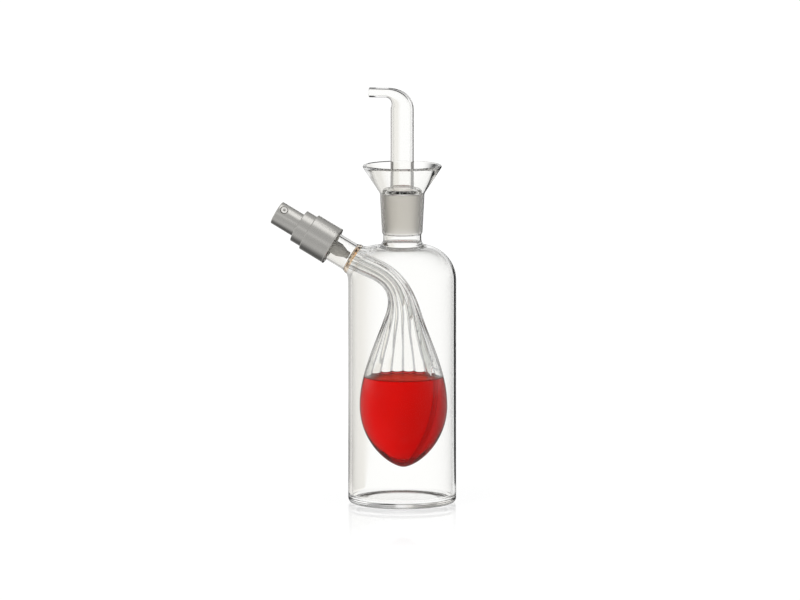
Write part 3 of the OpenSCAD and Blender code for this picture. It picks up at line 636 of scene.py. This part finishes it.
def buildCollar():
    radius, top, step, stepTop, hole = pick(collar, "radius", "shellTop", "stepRadius", "stepTop", "holeRadius")
    t, low, corner = collar["sheet"], -collar["skirt"], collar["corner"]
    outline = rounded([
        (radius - t - 0.7, low, 0.18), (radius - 0.02, low, collar["lipRoll"]), (radius - 0.02, low + 0.75, 0.25),
        (radius - 0.2, low + 0.95, 0.3), (radius - 0.2, top, corner), (step, top - 0.05, 0.22),
        (step, stepTop, corner), (hole, stepTop, 0.2), (hole, stepTop - t, 0.15), (step - t, stepTop - t, 0.2),
        (step - t, top - t, 0.2), (radius - t - 0.1, top - t, 0.3), (radius - t - 0.1, low + 0.5, 0.1),
        (radius - t - 0.7, low + 0.5, 0.18)], 18)
    return alongSide(spinSection("collarShell", outline, 144, smooth=50), cruet["mouthPlace"])


collarShell = finishPiece(buildCollar(), "collar", "satin_aluminium", "closure_shell")
print("collar:", len(collarShell.data.polygons), "faces")

# Aluminium cap of the push button, with the nozzle's hole in its side
button = {"radius": 7.4, "sheet": 0.5, "low": 10.2, "top": 27.3, "corner": 0.7, "nozzleRadius": 2.45,
          "nozzlePlace": 23.4, "nozzleTurn": 40, "nozzleIn": 3.5, "proud": 0.12, "holeGap": 0.06}


def atNozzle():
    # From the upright axis to the nozzle's, which points out of the button's side
    return (sideMatrix(cruet["mouthPlace"]) @ Matrix.Translation((0, 0, button["nozzlePlace"] * mm))
            @ Matrix.Rotation(math.radians(button["nozzleTurn"] - 90), 4, "Z") @ Matrix.Rotation(math.pi / 2, 4, "Y"))


def buildButton():
    r, t, low, top = pick(button, "radius", "sheet", "low", "top")
    outline = rounded([(0, top - 0.1), (r - 2.2, top - 0.02, 2), (r, top, button["corner"]), (r, low, 0.15),
                       (r - t, low, 0.15), (r - t, top - t, 0.3), (0, top - t)], 15)
    piece = alongSide(spinSection("buttonShell", outline, 144, smooth=50), cruet["mouthPlace"])
    deselectAll()
    bpy.ops.mesh.primitive_cylinder_add(vertices=64, radius=(button["nozzleRadius"] + button["holeGap"]) * mm,
                                        depth=6 * mm, location=(0, 0, (r + 0.4) * mm))
    cutter = bpy.context.object
    bpy.ops.object.transform_apply(location=True, rotation=True, scale=True)
    cutter.data.transform(atNozzle())
    return combine(piece, cutter, "DIFFERENCE")


def buildNozzle():
    r, low, face = button["nozzleRadius"], button["nozzleIn"], button["radius"] + button["proud"]
    outline = rounded([(0, low), (r, low, 0.1), (r, face - 1.9, 0.1), (r - 0.34, face - 2.1, 0.1),
                       (r - 0.36, face - 0.25, 0.15), (0.85, face - 0.3, 0.2), (0.55, face - 0.65, 0.15),
                       (0.26, face - 0.75, 0.08), (0.24, face - 1.6), (0, face - 1.6)], 15)
    piece = spinSection("nozzleInsert", outline, 64, smooth=50)
    piece.data.transform(atNozzle())
    return piece


buttonShell = finishPiece(buildButton(), "button", "satin_aluminium", "actuator_shell")
nozzleInsert = finishPiece(buildNozzle(), "button", "satin_aluminium", "nozzle_insert")
print("button:", len(buttonShell.data.polygons), "faces")

# Grey pump barrel, seen through the side neck
pump = {"barrel": 4.1, "bore": 3.1, "flange": 8.6, "flangeLow": 1.1, "flangeTop": 2.3, "rim": 5.2, "rimTop": 3.7,
        "taperTop": -17.1, "taperLow": -21.7, "nipple": 2.3, "nippleLow": -23.9, "tubeRadius": 1.55}


def buildPump():
    barrel, bore, flange, rim, tube, nipple = pick(pump, "barrel", "bore", "flange", "rim", "tubeRadius", "nipple")
    low, flangeLow, flangeTop, rimTop = pick(pump, "nippleLow", "flangeLow", "flangeTop", "rimTop")
    outline = rounded([
        (tube, low, 0.15), (nipple, low, 0.3), (nipple, pump["taperLow"], 0.5), (barrel, pump["taperTop"], 0.6),
        (barrel, -3.2, 0.2), (barrel + 0.35, -2.6, 0.2), (barrel + 0.35, flangeLow, 0.3), (flange, flangeLow, 0.2),
        (flange, flangeTop, 0.2), (rim, flangeTop, 0.2), (rim, rimTop, 0.25), (bore, rimTop, 0.15), (bore, -14, 0.2),
        (1.9, -14.1, 0.2), (0.8, -18.3, 0.1), (0.8, -19.2), (tube, -19.2)], 18)
    return alongSide(spinSection("pumpBarrel", outline, 72), cruet["mouthPlace"])


pumpBarrel = finishPiece(buildPump(), "sprayer", "grey_plastic", "pump_housing")


def buildDipTube():
    # Along the bent neck, soft enough to be drawn after the pump
    d = dipTube
    stations = bowStations(48)
    bends = [d["leave"] + (1 - d["leave"]) * i / 28 for i in range(1, 29)]
    stations += [(bendPoint(t), bendHeading(t)) for t in bends]
    stations += [(onSide(s), sideAxis) for s in (36.5, cruet["mouthPlace"] + d["topPlace"])]
    return rippleGrid("dipTube", rodRings(stations, d["radius"], d["sides"])
                      + rodRings(stations[::-1], d["radius"] - d["wall"], d["sides"]), closeRound=True, smooth=50)


dipTubePiece = buildDipTube()
Vector(tuple(leavePoint * mm))
Vector(tuple(onSide(36) * mm))
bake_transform(dipTubePiece)
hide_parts("dip_tube")
print("pump and dip tube done")

# Plastic closure inside the collar, with the thread that runs on the glass
closure = {"bore": 10.0, "radius": 11.35, "low": -12.05, "plateLow": 2.35, "plateTop": 3.95, "hole": 6.48,
           "ringIn": 8.0, "ringOut": 9.75, "ringTop": 11.15, "ridge": 0.7}


def buildClosure():
    bore, radius, low, hole = pick(closure, "bore", "radius", "low", "hole")
    plateLow, plateTop = pick(closure, "plateLow", "plateTop")
    ringIn, ringOut, ringTop = pick(closure, "ringIn", "ringOut", "ringTop")
    outline = ([(bore + 0.35, low), (radius - 0.2, low), (radius, low + 0.2), (radius, plateTop - 0.4),
                (radius - 0.4, plateTop), (ringOut, plateTop), (ringOut, ringTop), (ringIn, ringTop),
                (ringIn, plateTop), (hole, plateTop), (hole, plateLow), (bore - 0.3, plateLow)]
               + rows((bore, plateLow - 0.3), (bore, low + 0.5), 0.32))
    piece = spinSection("closureCap", outline, 96)
    # The cap's ridge runs in the groove between the turns of the mouth's thread
    pitch, turns = pick(bottle, "threadPitch", "threadTurns")
    raiseThread(piece, bore, -closure["ridge"], first=-bottle["threadTop"] - pitch * turns + pitch / 2,
                ridgeWidth=0.7, crest=1.3, span=(-1, turns - 0.1), fadeRun=0.15)
    return alongSide(piece, cruet["mouthPlace"])


closureCap = finishPiece(buildClosure(), "collar", "white_plastic", "closure")
print("closure done")


# Materials. A signal is a value in a node tree: sums with it add the nodes that work them out
class Signal:
    def __init__(self, socket):
        self.socket, self.tree = socket, socket.id_data

    def __add__(self, other):
        return maths("ADD", self, other)

    def __sub__(self, other):
        return maths("SUBTRACT", self, other)

    def __rsub__(self, other):
        return maths("SUBTRACT", other, self)

    def __mul__(self, other):
        return maths("MULTIPLY", self, other)

    def __truediv__(self, other):
        return maths("DIVIDE", self, other)

    def __lt__(self, other):
        return maths("LESS_THAN", self, other)

    def __gt__(self, other):
        return maths("GREATER_THAN", self, other)

    def __abs__(self):
        return maths("ABSOLUTE", self)


def result(node, name=0):
    return Signal(node.outputs[name])


def feed(node, **values):
    # Links each signal to the input of its name or number, and types in the rest
    for key, value in values.items():
        socket = node.inputs[int(key[2:])] if key.startswith("in") and key[2:].isdigit() else node.inputs[key]
        if isinstance(value, Signal):
            value.tree.links.new(value.socket, socket)
        else:
            socket.default_value = value
    return node


def addNode(tree, kind, settings=None, **values):
    node = tree.nodes.new(kind)
    for key, value in (settings or {}).items():
        setattr(node, key, value)
    return feed(node, **values)


def maths(operation, *values, clamp=False):
    tree = next(value.tree for value in values if isinstance(value, Signal))
    settings = {"operation": operation, "use_clamp": clamp}
    return result(addNode(tree, "ShaderNodeMath", settings, **{f"in{i}": v for i, v in enumerate(values)}))


def vectors(operation, a, b=(0, 0, 0)):
    node = addNode(a.tree, "ShaderNodeVectorMath", {"operation": operation}, in0=a, in1=b)
    return result(node, "Value" if operation in ("DOT_PRODUCT", "LENGTH") else "Vector")


def ramp(value, start, end, low, high, kind="SMOOTHSTEP"):
    return result(addNode(value.tree, "ShaderNodeMapRange", {"interpolation_type": kind}, Value=value,
                          **{"From Min": start, "From Max": end, "To Min": low, "To Max": high}), "Result")


def mixColour(factor, a, b, blendType="MIX"):
    settings = {"data_type": "RGBA", "blend_type": blendType}
    return result(addNode(factor.tree, "ShaderNodeMix", settings, in0=factor, in6=a, in7=b), 2)


def mixShader(factor, first, second):
    return result(addNode(factor.tree, "ShaderNodeMixShader", in0=factor, in1=first, in2=second))


def coordinates(tree, kind="Object"):
    return result(addNode(tree, "ShaderNodeTexCoord"), kind)


def axesOf(place):
    node = addNode(place.tree, "ShaderNodeSeparateXYZ", Vector=place)
    return [result(node, axis) for axis in "XYZ"]


def noise(place, scale, detail, roughness=0.5):
    return result(addNode(place.tree, "ShaderNodeTexNoise", Vector=place, Scale=scale, Detail=detail,
                          Roughness=roughness), "Fac")


def bump(height, strength, distance):
    return result(addNode(height.tree, "ShaderNodeBump", Height=height, Strength=strength, Distance=distance),
                  "Normal")


def facing(tree):
    return result(addNode(tree, "ShaderNodeLayerWeight", Blend=0.5), "Facing")


def colour(red, green, blue):
    # From a colour as seen on screen
    return tuple(((v / 255 + 0.055) / 1.055) ** 2.4 if v > 10 else v / 255 / 12.92 for v in (red, green, blue)) + (1,)


def emptyTree(owner, outputKind):
    owner.use_nodes = True
    tree = owner.node_tree
    tree.nodes.clear()
    return tree, tree.nodes.new(outputKind)


def newMaterial(name):
    material = bpy.data.materials.new(name)
    tree, output = emptyTree(material, "ShaderNodeOutputMaterial")
    shader = tree.nodes.new("ShaderNodeBsdfPrincipled")
    feed(output, Surface=result(shader, "BSDF"))
    return material, tree, shader


def newGroup(name, inputs, *outputs):
    # All sockets hold numbers, apart from these
    group = bpy.data.node_groups.new(name, "ShaderNodeTree")
    kinds = {"Direction": "NodeSocketVector", "Normal": "NodeSocketVector", "Tint": "NodeSocketColor"}
    for label in (*inputs, *outputs):
        socket = group.interface.new_socket(name=label, in_out="INPUT" if label in inputs else "OUTPUT",
                                            socket_type=kinds.get(label, "NodeSocketFloat"))
        if inputs.get(label) is not None:
            socket.default_value = inputs[label]
    start, end = group.nodes.new("NodeGroupInput"), group.nodes.new("NodeGroupOutput")
    return group, {label: result(start, label) for label in inputs}, end


def placeGroup(tree, group, **values):
    return addNode(tree, "ShaderNodeGroup", {"node_tree": group}, **values)


def buildWaver():
    # Slow unevenness of blown glass and faint handling marks
    group, given, end = newGroup("handWorkedGlass", {"Size": 60.0, "Depth": 0.1, "Base Roughness": 0.0,
                                                     "Marks": 0.008}, "Normal", "Roughness")
    place = coordinates(group)
    marks = ramp(noise(place, 220.0, 4.0, 0.6), 0.5, 0.8, 0.0, given["Marks"], "LINEAR")
    feed(end, Normal=bump(noise(place, given["Size"], 1.0, 0.4), given["Depth"], 0.001),
         Roughness=given["Base Roughness"] + marks)
    return group


def buildGround():
    # Mask of the ground joint: between two heights and close to the taper's radius
    group, given, end = newGroup("groundJoint", {"Low": 0.1635, "High": 0.1875, "Middle Radius": 0.0114,
                                                 "Taper": 0.05, "Width": 0.0004}, "Mask", "Grit")
    place = coordinates(group)
    x, y, z = axesOf(place)
    radius = maths("SQRT", x * x + y * y)
    line = given["Middle Radius"] + (z - (given["Low"] + given["High"]) * 0.5) * given["Taper"]
    above = maths("MULTIPLY", z - given["Low"], 4000.0, clamp=True)
    below = maths("MULTIPLY", given["High"] - z, 4000.0, clamp=True)
    feed(end, Mask=(abs(radius - line) < given["Width"]) * (above * below), Grit=noise(place, 2600.0, 3.0, 0.7))
    return group


def buildSealRing():
    # Mask of the ring where the vessel is sealed into the side neck, and its streaky shade
    group, given, end = newGroup("sealRing", {"Width": 0.0015}, "Mask", "Shade")
    place = coordinates(group)
    middle = (sideStart + (cruet["sealPlace"] + bottle["beadPlace"]) * sideAxis) * mm
    away = vectors("SUBTRACT", place, tuple(middle))
    along = vectors("DOT_PRODUCT", away, tuple(sideAxis))
    beside = vectors("LENGTH", vectors("CROSS_PRODUCT", away, tuple(sideAxis)))
    ring = maths("MULTIPLY", given["Width"] - abs(along), 2500.0, clamp=True)
    feed(end, Mask=ring * (beside < 0.0115), Shade=ramp(noise(place, 420.0, 2.0), 0.38, 0.62, 0.0, 1.0, "LINEAR"))
    return group


def buildTurnedLines():
    # Fine lines around the side neck's axis and a soft mottle, for drawn and turned metal
    group, given, end = newGroup("turnedLines", {"Lines": 1500.0, "Line Depth": 0.1, "Base Roughness": 0.35},
                                 "Normal", "Roughness", "Shade")
    place = coordinates(group)
    turned = addNode(group, "ShaderNodeMapping", {"vector_type": "TEXTURE"}, Vector=place,
                     Location=tuple(sideStart * mm), Rotation=(0, tilt - math.pi / 2, 0))
    x, y, z = axesOf(result(turned, "Vector"))
    radius = maths("SQRT", x * x + y * y)
    flat = addNode(group, "ShaderNodeCombineXYZ", X=maths("ARCTAN2", y, x) * 0.0009, Y=z + radius * 0.7)
    lines = noise(result(flat, "Vector"), given["Lines"], 3.0, 0.7)
    spread = maths("MULTIPLY_ADD", lines, 0.12, noise(place, 300.0, 3.0, 0.6) * 0.05)
    feed(end, Normal=bump(lines, given["Line Depth"], 0.0002), Shade=lines,
         Roughness=given["Base Roughness"] + (spread - 0.085))
    return group


def buildMouldedGrain():
    group, given, end = newGroup("mouldedGrain", {"Grain": 1400.0, "Depth": 0.05, "Base Roughness": 0.4},
                                 "Normal", "Roughness")
    place = coordinates(group)
    feed(end, Normal=bump(noise(place, given["Grain"], 2.0), given["Depth"], 0.0002),
         Roughness=maths("MULTIPLY_ADD", noise(place, 180.0, 2.0), 0.12, given["Base Roughness"]))
    return group


waver, groundJoint, sealRing = buildWaver(), buildGround(), buildSealRing()
turnedLines, mouldedGrain = buildTurnedLines(), buildMouldedGrain()

# Edge colours are painted shade where the glass is seen edge-on; the valley colour is painted shade between the ribs
glassLook = {"clear": colour(253, 253, 252), "edge": colour(206, 208, 207), "ior": 1.47,
             "ground": colour(236, 234, 230), "groundRoughness": 0.42, "sealDark": colour(250, 230, 206),
             "sealPale": colour(255, 252, 246), "ribLine": 0.15, "valley": colour(168, 170, 175),
             "ribsFrom": 2.8, "ribsFull": 5.0}


def glassMaterial(name, edge, edgeShadePower, waverDepth, ground=None, seal=0.0, shine=0.07, ribs=False):
    material, tree, shader = newMaterial(name)
    # Painted shade: the colour darkens towards the edge colour where the skin is seen edge-on, for the dark outlines
    # of the glass
    base = mixColour(maths("POWER", facing(tree), edgeShadePower), glassLook["clear"], edge)
    worked = placeGroup(tree, waver, Depth=waverDepth)
    rough = result(worked, "Roughness")
    if ground:
        joint = placeGroup(tree, groundJoint, **ground)
        mask = result(joint, "Mask")
        base = mixColour(mask, base, glassLook["ground"])
        rough = rough + mask * maths("MULTIPLY_ADD", result(joint, "Grit"), 0.2, glassLook["groundRoughness"] - 0.1)
    if seal:
        ring = placeGroup(tree, sealRing, Width=seal)
        amber = mixColour(result(ring, "Shade"), glassLook["sealDark"], glassLook["sealPale"])
        base = mixColour(result(ring, "Mask"), base, amber)
    if ribs:
        # Painted shade: a grey line in each valley between the ribs, as thick as a share of the rib, on the ribbed
        # skin only
        around, along = axesOf(coordinates(tree, "UV"))[:2]
        valley = abs(maths("FRACT", around * vessel["ribs"]) - 0.5)
        line = ramp(valley, glassLook["ribLine"] * 0.4, glassLook["ribLine"], 1.0, 0.0)
        low, high = ((liquid["level"] + glassLook[key]) * mm for key in ("ribsFrom", "ribsFull"))
        grown = ramp(axesOf(coordinates(tree))[2], low, high, 0.0, 1.0)
        shade = line * ((along < vessel["ribbedShare"]) * grown)
        base = mixColour(shade, base, glassLook["valley"], "MULTIPLY")
    feed(shader, Roughness=rough, Normal=result(worked, "Normal"), IOR=glassLook["ior"],
         **{"Base Color": base, "Transmission Weight": 1.0, "Specular Tint": (shine, shine, shine, 1)})
    return material


socketGround = {"Low": 0.1634, "High": 0.1876, "Middle Radius": 0.0114, "Width": 0.0005}
coneGround = {"Low": 0.1643, "High": 0.1880, "Middle Radius": 0.01138, "Width": 0.0004}
# Painted shade at each glass's outline, darkest on the stopper
clearGlass = glassMaterial("clearGlass", glassLook["edge"], 7.0, 0.02, ground=socketGround, seal=0.0014)
ribbedGlass = glassMaterial("ribbedGlass", colour(190, 193, 198), 5.0, 0.0, seal=0.0016, ribs=True)
wettedGlass = glassMaterial("wettedGlass", colour(220, 220, 220), 5.0, 0.0, shine=0.03)
stopperGlassFinish = glassMaterial("stopperGlassFinish", colour(60, 62, 61), 5.0, 0.01, ground=coneGround)


def vinegarMaterial():
    # Painted shade: darker at its outline, where it is seen edge-on, and where it climbs the glass; paler against the
    # tube
    material, tree, shader = newMaterial("redVinegar")
    place = coordinates(tree)
    beside = result(addNode(tree, "ShaderNodeAttribute", {"attribute_name": "besideTube"}), "Fac")
    red = mixColour(noise(place, 40.0, 2.0), colour(228, 8, 4), colour(220, 4, 2))
    red = mixColour(beside, red, colour(253, 170, 150))
    climb = ramp(axesOf(place)[2], (liquid["level"] + 0.08) * mm, (liquid["level"] + 0.4) * mm, 0.0, 1.0)
    # Painted shade towards dark red at the outline and the meniscus, but not against the tube
    dark = maths("MAXIMUM", maths("POWER", facing(tree), 4.0), climb) * (1.0 - beside)
    feed(shader, Roughness=0.02, IOR=1.34, **{"Base Color": mixColour(dark, red, colour(130, 14, 8)),
                                              "Transmission Weight": 1.0, "Specular Tint": (0.1, 0.1, 0.1, 1)})
    return material


def metalMaterial(name, base, edge, lineDepth, roughness):
    material, tree, shader = newMaterial(name)
    lines = placeGroup(tree, turnedLines, **{"Line Depth": lineDepth, "Base Roughness": roughness})
    feed(shader, Metallic=1.0, Roughness=result(lines, "Roughness"), Normal=result(lines, "Normal"),
         **{"Base Color": mixColour(result(lines, "Shade"), base, edge)})
    return material


def plasticMaterial(name, base, roughness, depth=0.05, clear=0.0):
    material, tree, shader = newMaterial(name)
    grain = placeGroup(tree, mouldedGrain, **{"Base Roughness": roughness, "Depth": depth})
    darker = tuple(v * 0.93 for v in base[:3]) + (1,)
    tinted = mixColour(noise(coordinates(tree), 90.0, 2.0), base, darker)
    feed(shader, Roughness=result(grain, "Roughness"), Normal=result(grain, "Normal"),
         **{"Base Color": tinted, "Transmission Weight": clear})
    return material


redVinegar = vinegarMaterial()
satinAluminium = metalMaterial("satinAluminium", colour(240, 238, 233), colour(226, 224, 219), 0.1, 0.27)
nozzleMetal = metalMaterial("nozzleMetal", colour(242, 240, 236), colour(232, 230, 226), 0.1, 0.25)
brightSteel = metalMaterial("brightSteel", colour(208, 210, 214), colour(196, 198, 202), 0.05, 0.2)
greyPlastic = plasticMaterial("greyPlastic", colour(214, 212, 206), 0.4)
whitePlastic = plasticMaterial("whitePlastic", colour(226, 225, 220), 0.35)
clearPlastic = plasticMaterial("clearPlastic", colour(246, 247, 246), 0.0, 0.0, clear=1.0)
print("materials done")

for piece, material in ((bottleGlass, clearGlass), (vesselGlass, ribbedGlass), (stopperGlass, stopperGlassFinish),
                        (vinegarFill, redVinegar), (collarShell, satinAluminium), (buttonShell, satinAluminium),
                        (nozzleInsert, nozzleMetal), (pumpBarrel, greyPlastic), (dipTubePiece, clearPlastic),
                        (closureCap, whitePlastic)):
    piece.data.materials.clear()
    piece.data.materials.append(material)
# Below the vinegar's level the vessel's inner wall is wet, so it barely mirrors
vesselGlass.data.materials.append(wettedGlass)
for polygon in vesselGlass.data.polygons:
    height, outward = polygon.center.z / mm, Vector((polygon.center.x - vessel["centre"] * mm, polygon.center.y, 0))
    low = height < vessel["widest"] and polygon.normal.z > 0
    if height < liquid["level"] + 0.3 * liquid["climb"] and (polygon.normal @ outward < 0 or low):
        polygon.material_index = 1
# Nodes that no piece replaces
for nodeName, material in (("neck_gasket", whitePlastic), ("retainer", whitePlastic), ("check_ball", brightSteel),
                           ("return_spring", brightSteel), ("stem", whitePlastic), ("piston", greyPlastic),
                           ("actuator", whitePlastic)):
    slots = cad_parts[nodeName].material_slots
    for slot in slots:
        slot.material = material
    if not slots:
        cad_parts[nodeName].data.materials.append(material)

# Stage: floor, world, lamps and camera
stage = {"azimuth": 10.0, "elevation": 7.4, "lens": 400.0, "sensor": 36, "mmPerPixel": 0.6035, "centreX": 402.2,
         "floorY": 501.7, "imageWidth": 800, "imageHeight": 600, "whiteLevel": 1.06, "reflection": 0.3,
         "reflectionEnd": 0.24, "shadowShare": 0.12, "diffuseLight": 0.6, "reach": 0.031}
# How bright the parts of the studio are for each kind of light
surround = {"clearLevel": 1.04, "cardAt": 41.0, "cardShade": 0.03, "hollowCard": 0.93, "vesselCard": 0.75,
            "wallLeft": 0.55, "leftShade": 0.95, "leftTone": 0.87, "vinegarLeft": 0.4, "evenShade": 0.97,
            "evenRed": 0.65, "topShade": 0.8, "overhead": 0.06, "innerMirror": 0.2, "vesselRim": 0.5,
            "surfaceTint": (0.36, 0.08, 0.05, 1), "insideTint": (1, 0.95, 0.91, 1)}
white = (1, 1, 1, 1)


def buildSurround():
    # How bright the studio looks in each direction: pale all round with two dark cards, dimmer left and top.
    # Through is seen by way of glass, Mirrored on its surface and on metal
    group, given, end = newGroup("studioSurround", {"Direction": None, "Refractions": 0.0, "Reflections": 0.0},
                                 "Through", "Tint", "Mirrored")
    crossed, mirrored = given["Refractions"], given["Reflections"] > 0.5

    def towards(turn, rise=0.0):
        # Share of the direction that points a turn right of the view's heading
        angle, rise = math.radians(stage["azimuth"] - turn), math.radians(rise)
        heading = (-math.sin(angle) * math.cos(rise), math.cos(angle) * math.cos(rise), math.sin(rise))
        return vectors("DOT_PRODUCT", given["Direction"], heading)

    def between(a, b, share):
        return maths("MULTIPLY_ADD", share, b - a, a)

    ahead, right, up = towards(0), towards(90), towards(0, 90)
    # Walls that throw the light straight back out are crossed twice, hollow glass four times
    caught, inVessel, inVinegar = crossed < 3.0, crossed > 5.5, crossed > 8.5
    level = maths("SQRT", maths("MAXIMUM", 1.0 - up * up, 1e-4))
    flat = ramp(up, 0.55, 0.75, 1.0, 0.0) * ramp(up, -0.34, -0.18, 0.0, 1.0)
    # The dark card is narrow and near the heading for the wall's own light, and faint for the rest
    edge = right / level
    near = ramp(edge, 0.05, 0.11, 0.0, 1.0) * ramp(edge, 0.44, 0.52, 1.0, 0.0) * ramp(up, 0.02, 0.14, 1.0, 0.3)
    nearLeft = ramp(edge, -0.16, -0.10, 1.0, 0.0) * ramp(edge, -0.55, -0.45, 0.0, 1.0)
    wall = between(1.0, surround["cardShade"], near) * between(1.0, surround["wallLeft"], nearLeft)
    wide = ramp(abs(towards(surround["cardAt"] + 90)) / level, 0.30, 0.36, 1.0, 0.0)
    cardTone = between(surround["hollowCard"], surround["vesselCard"], inVessel)
    hollow = between(1.0, between(cardTone, 1.0, inVinegar), wide)
    card = between(1.0, between(hollow, wall, caught), flat)
    plainLeft = (ramp(right, -0.6, -0.1, surround["leftShade"], 1.0)
                 * ramp(right, -0.09, 0.0, surround["leftTone"], 1.0))
    redLeft = (ramp(right, -0.65, -0.3, surround["vinegarLeft"], surround["evenRed"])
               * ramp(right, -0.3, 0.4, 1.0, 1.5))
    # Seen from the sides and the back the studio is even
    even = between(surround["evenShade"], surround["evenRed"], inVinegar)
    left = between(even, between(plainLeft, redLeft, inVinegar), ramp(ahead, 0.2, 0.6, 0.0, 1.0))
    through = card * left * ramp(up, 0.5, 0.9, 1.0, surround["topShade"])
    # Light that the vinegar's surface mirrors comes from a dim part of the studio
    rising = ramp(abs(up - 0.13), 0.08, 0.14, 1.0, 0.0)
    dim = mirrored * (crossed > 7.5) * (rising * ramp(ahead, 0.7, 0.9, 0.0, 1.0))
    # The skin of the vessel inside mirrors a dimmer room
    turnedBack = mirrored * (ramp(up, -0.02, 0.08, 1.0, 0.0) * ramp(ahead, -0.6, -0.3, 0.0, 1.0))
    inside = turnedBack * maths("COMPARE", crossed, 4.0, 1.5)
    skirting = turnedBack * maths("COMPARE", crossed, 6.0, 0.5)
    through = through * between(1.0, surround["innerMirror"], inside) * between(1.0, surround["vesselRim"], skirting)
    through = through * between(ramp(up, 0.40, 0.52, 1.0, surround["overhead"]), 1.0, inVessel)
    tint = mixColour(ramp(right, -0.09, 0.0, 1.0, 0.0), white, colour(255, 253, 249))
    tint = mixColour(inside, tint, surround["insideTint"])

    behind = ramp(up, 0.3, 0.7, ramp(right, -0.3, 0.15, 0.6, 0.04), 0.4)
    around = ramp(ahead, -0.3, 0.4, 0.42, behind)
    softBox = ramp(towards(114, 61), 0.86, 0.97, 0.0, 0.6)
    band = ramp(abs(up - 0.18), 0.1, 0.16, 1.0, 0.0) * ramp(ahead, 0.2, 0.6, 0.6, 1.0)
    feed(end, Through=through * surround["clearLevel"], Tint=mixColour(dim, tint, surround["surfaceTint"]),
         Mirrored=maths("MAXIMUM", around + softBox, band))
    return group


def lookAround(tree, direction):
    # The light's path, and what lies around in that direction
    path = addNode(tree, "ShaderNodeLightPath")
    return path, placeGroup(tree, studioSurround, Direction=direction,
                            Refractions=result(path, "Transmission Depth"), Reflections=result(path, "Glossy Depth"))


def layered(path, shown, layers):
    # Each kind of ray sees its own layer in place of what is shown to the rest
    for label, layer in layers:
        shown = mixShader(result(path, label), shown, layer)
    return shown


def glow(tree, kind, strength, tone=white):
    return result(addNode(tree, kind, Color=tone, Strength=strength))


def buildFloor():
    deselectAll()
    bpy.ops.mesh.primitive_plane_add(size=30, location=(0, 0, -0.0001))
    floor = bpy.context.object
    floor.name = "floor"
    material = bpy.data.materials.new("paleFloor")
    tree, output = emptyTree(material, "ShaderNodeOutputMaterial")
    mirror = result(addNode(tree, "ShaderNodeBsdfGlossy", Color=white, Roughness=0.06))
    plain = result(addNode(tree, "ShaderNodeBsdfDiffuse", Color=(0.8, 0.8, 0.8, 1)))
    place = coordinates(tree)
    away = vectors("LENGTH", place)
    fade = maths("POWER", ramp(away, 0.03, stage["reflectionEnd"], 1.0, 0.0), 1.3)
    seen = mixShader(fade * stage["shadowShare"], glow(tree, "ShaderNodeEmission", stage["whiteLevel"]), plain)
    seen = mixShader(fade * stage["reflection"], seen, mirror)
    # What glass and metal see of the floor follows the direction in which it lies from the bottle's wall
    reach = stage["reach"]
    kept = vectors("MINIMUM", vectors("MAXIMUM", place, (-reach, -reach, 0)), (reach, reach, 0))
    lies = vectors("ADD", vectors("SUBTRACT", place, kept), (0, 0, -0.01))
    path, around = lookAround(tree, vectors("NORMALIZE", lies))
    near = ramp(axesOf(place)[1], -0.15, 0.05, 0.5, 0.1)
    far = glow(tree, "ShaderNodeEmission", ramp(away, 0.2, 0.5, near, result(around, "Mirrored")))
    through = glow(tree, "ShaderNodeEmission", result(around, "Through"), result(around, "Tint"))
    feed(output, Surface=layered(path, plain, (("Is Glossy Ray", far), ("Is Transmission Ray", through),
                                               ("Is Camera Ray", seen))))
    floor.data.materials.append(material)


def buildWorld():
    world = bpy.context.scene.world = bpy.data.worlds.new("studio")
    tree, output = emptyTree(world, "ShaderNodeOutputWorld")
    path, around = lookAround(tree, coordinates(tree, "Generated"))
    kind = "ShaderNodeBackground"
    feed(output, Surface=layered(path, glow(tree, kind, stage["diffuseLight"]), (
        ("Is Glossy Ray", glow(tree, kind, result(around, "Mirrored"))),
        ("Is Transmission Ray", glow(tree, kind, result(around, "Through"), result(around, "Tint"))),
        ("Is Camera Ray", glow(tree, kind, 1.0)))))


def addLamp(name, place, target, size, power):
    light = bpy.data.lights.new(name, "AREA")
    light.size, light.energy = size, power
    lamp = bpy.data.objects.new(name, light)
    bpy.context.scene.collection.objects.link(lamp)
    lamp.location = place
    lamp.rotation_euler = (Vector(target) - Vector(place)).to_track_quat("-Z", "Y").to_euler()
    lamp.visible_glossy = lamp.visible_transmission = False


def buildCamera():
    azimuth, elevation = math.radians(stage["azimuth"]), math.radians(stage["elevation"])
    back = Vector((math.sin(azimuth) * math.cos(elevation), -math.cos(azimuth) * math.cos(elevation),
                   math.sin(elevation)))
    right = Vector((math.cos(azimuth), math.sin(azimuth), 0))
    up = back.cross(right)
    scale = stage["mmPerPixel"] * mm
    target = (right * (stage["imageWidth"] / 2 - stage["centreX"]) * scale
              + up * (stage["floorY"] - stage["imageHeight"] / 2) * scale)
    camera = bpy.data.objects.new("camera", bpy.data.cameras.new("camera"))
    bpy.context.scene.collection.objects.link(camera)
    camera.data.lens, camera.data.sensor_width = stage["lens"], stage["sensor"]
    camera.location = target + back * (stage["imageWidth"] * scale * stage["lens"] / stage["sensor"])
    camera.rotation_euler = (-back).to_track_quat("-Z", "Y").to_euler()
    camera.data.clip_start, camera.data.clip_end = 0.1, 100
    bpy.context.scene.camera = camera


studioSurround = buildSurround()
buildFloor()
buildWorld()
addLamp("keyLamp", (-0.5, -0.9, 0.9), (0, 0, 0.15), 0.6, 6)
addLamp("fillLamp", (0.8, -0.6, 0.5), (0, 0, 0.15), 0.5, 2)
buildCamera()
bpy.context.scene.view_settings.view_transform = "Standard"
# Light crosses many walls of glass, tube and vinegar before it leaves the cruet
cycles = bpy.context.scene.cycles
cycles.max_bounces = cycles.transmission_bounces = cycles.glossy_bounces = 26
print("stage done")
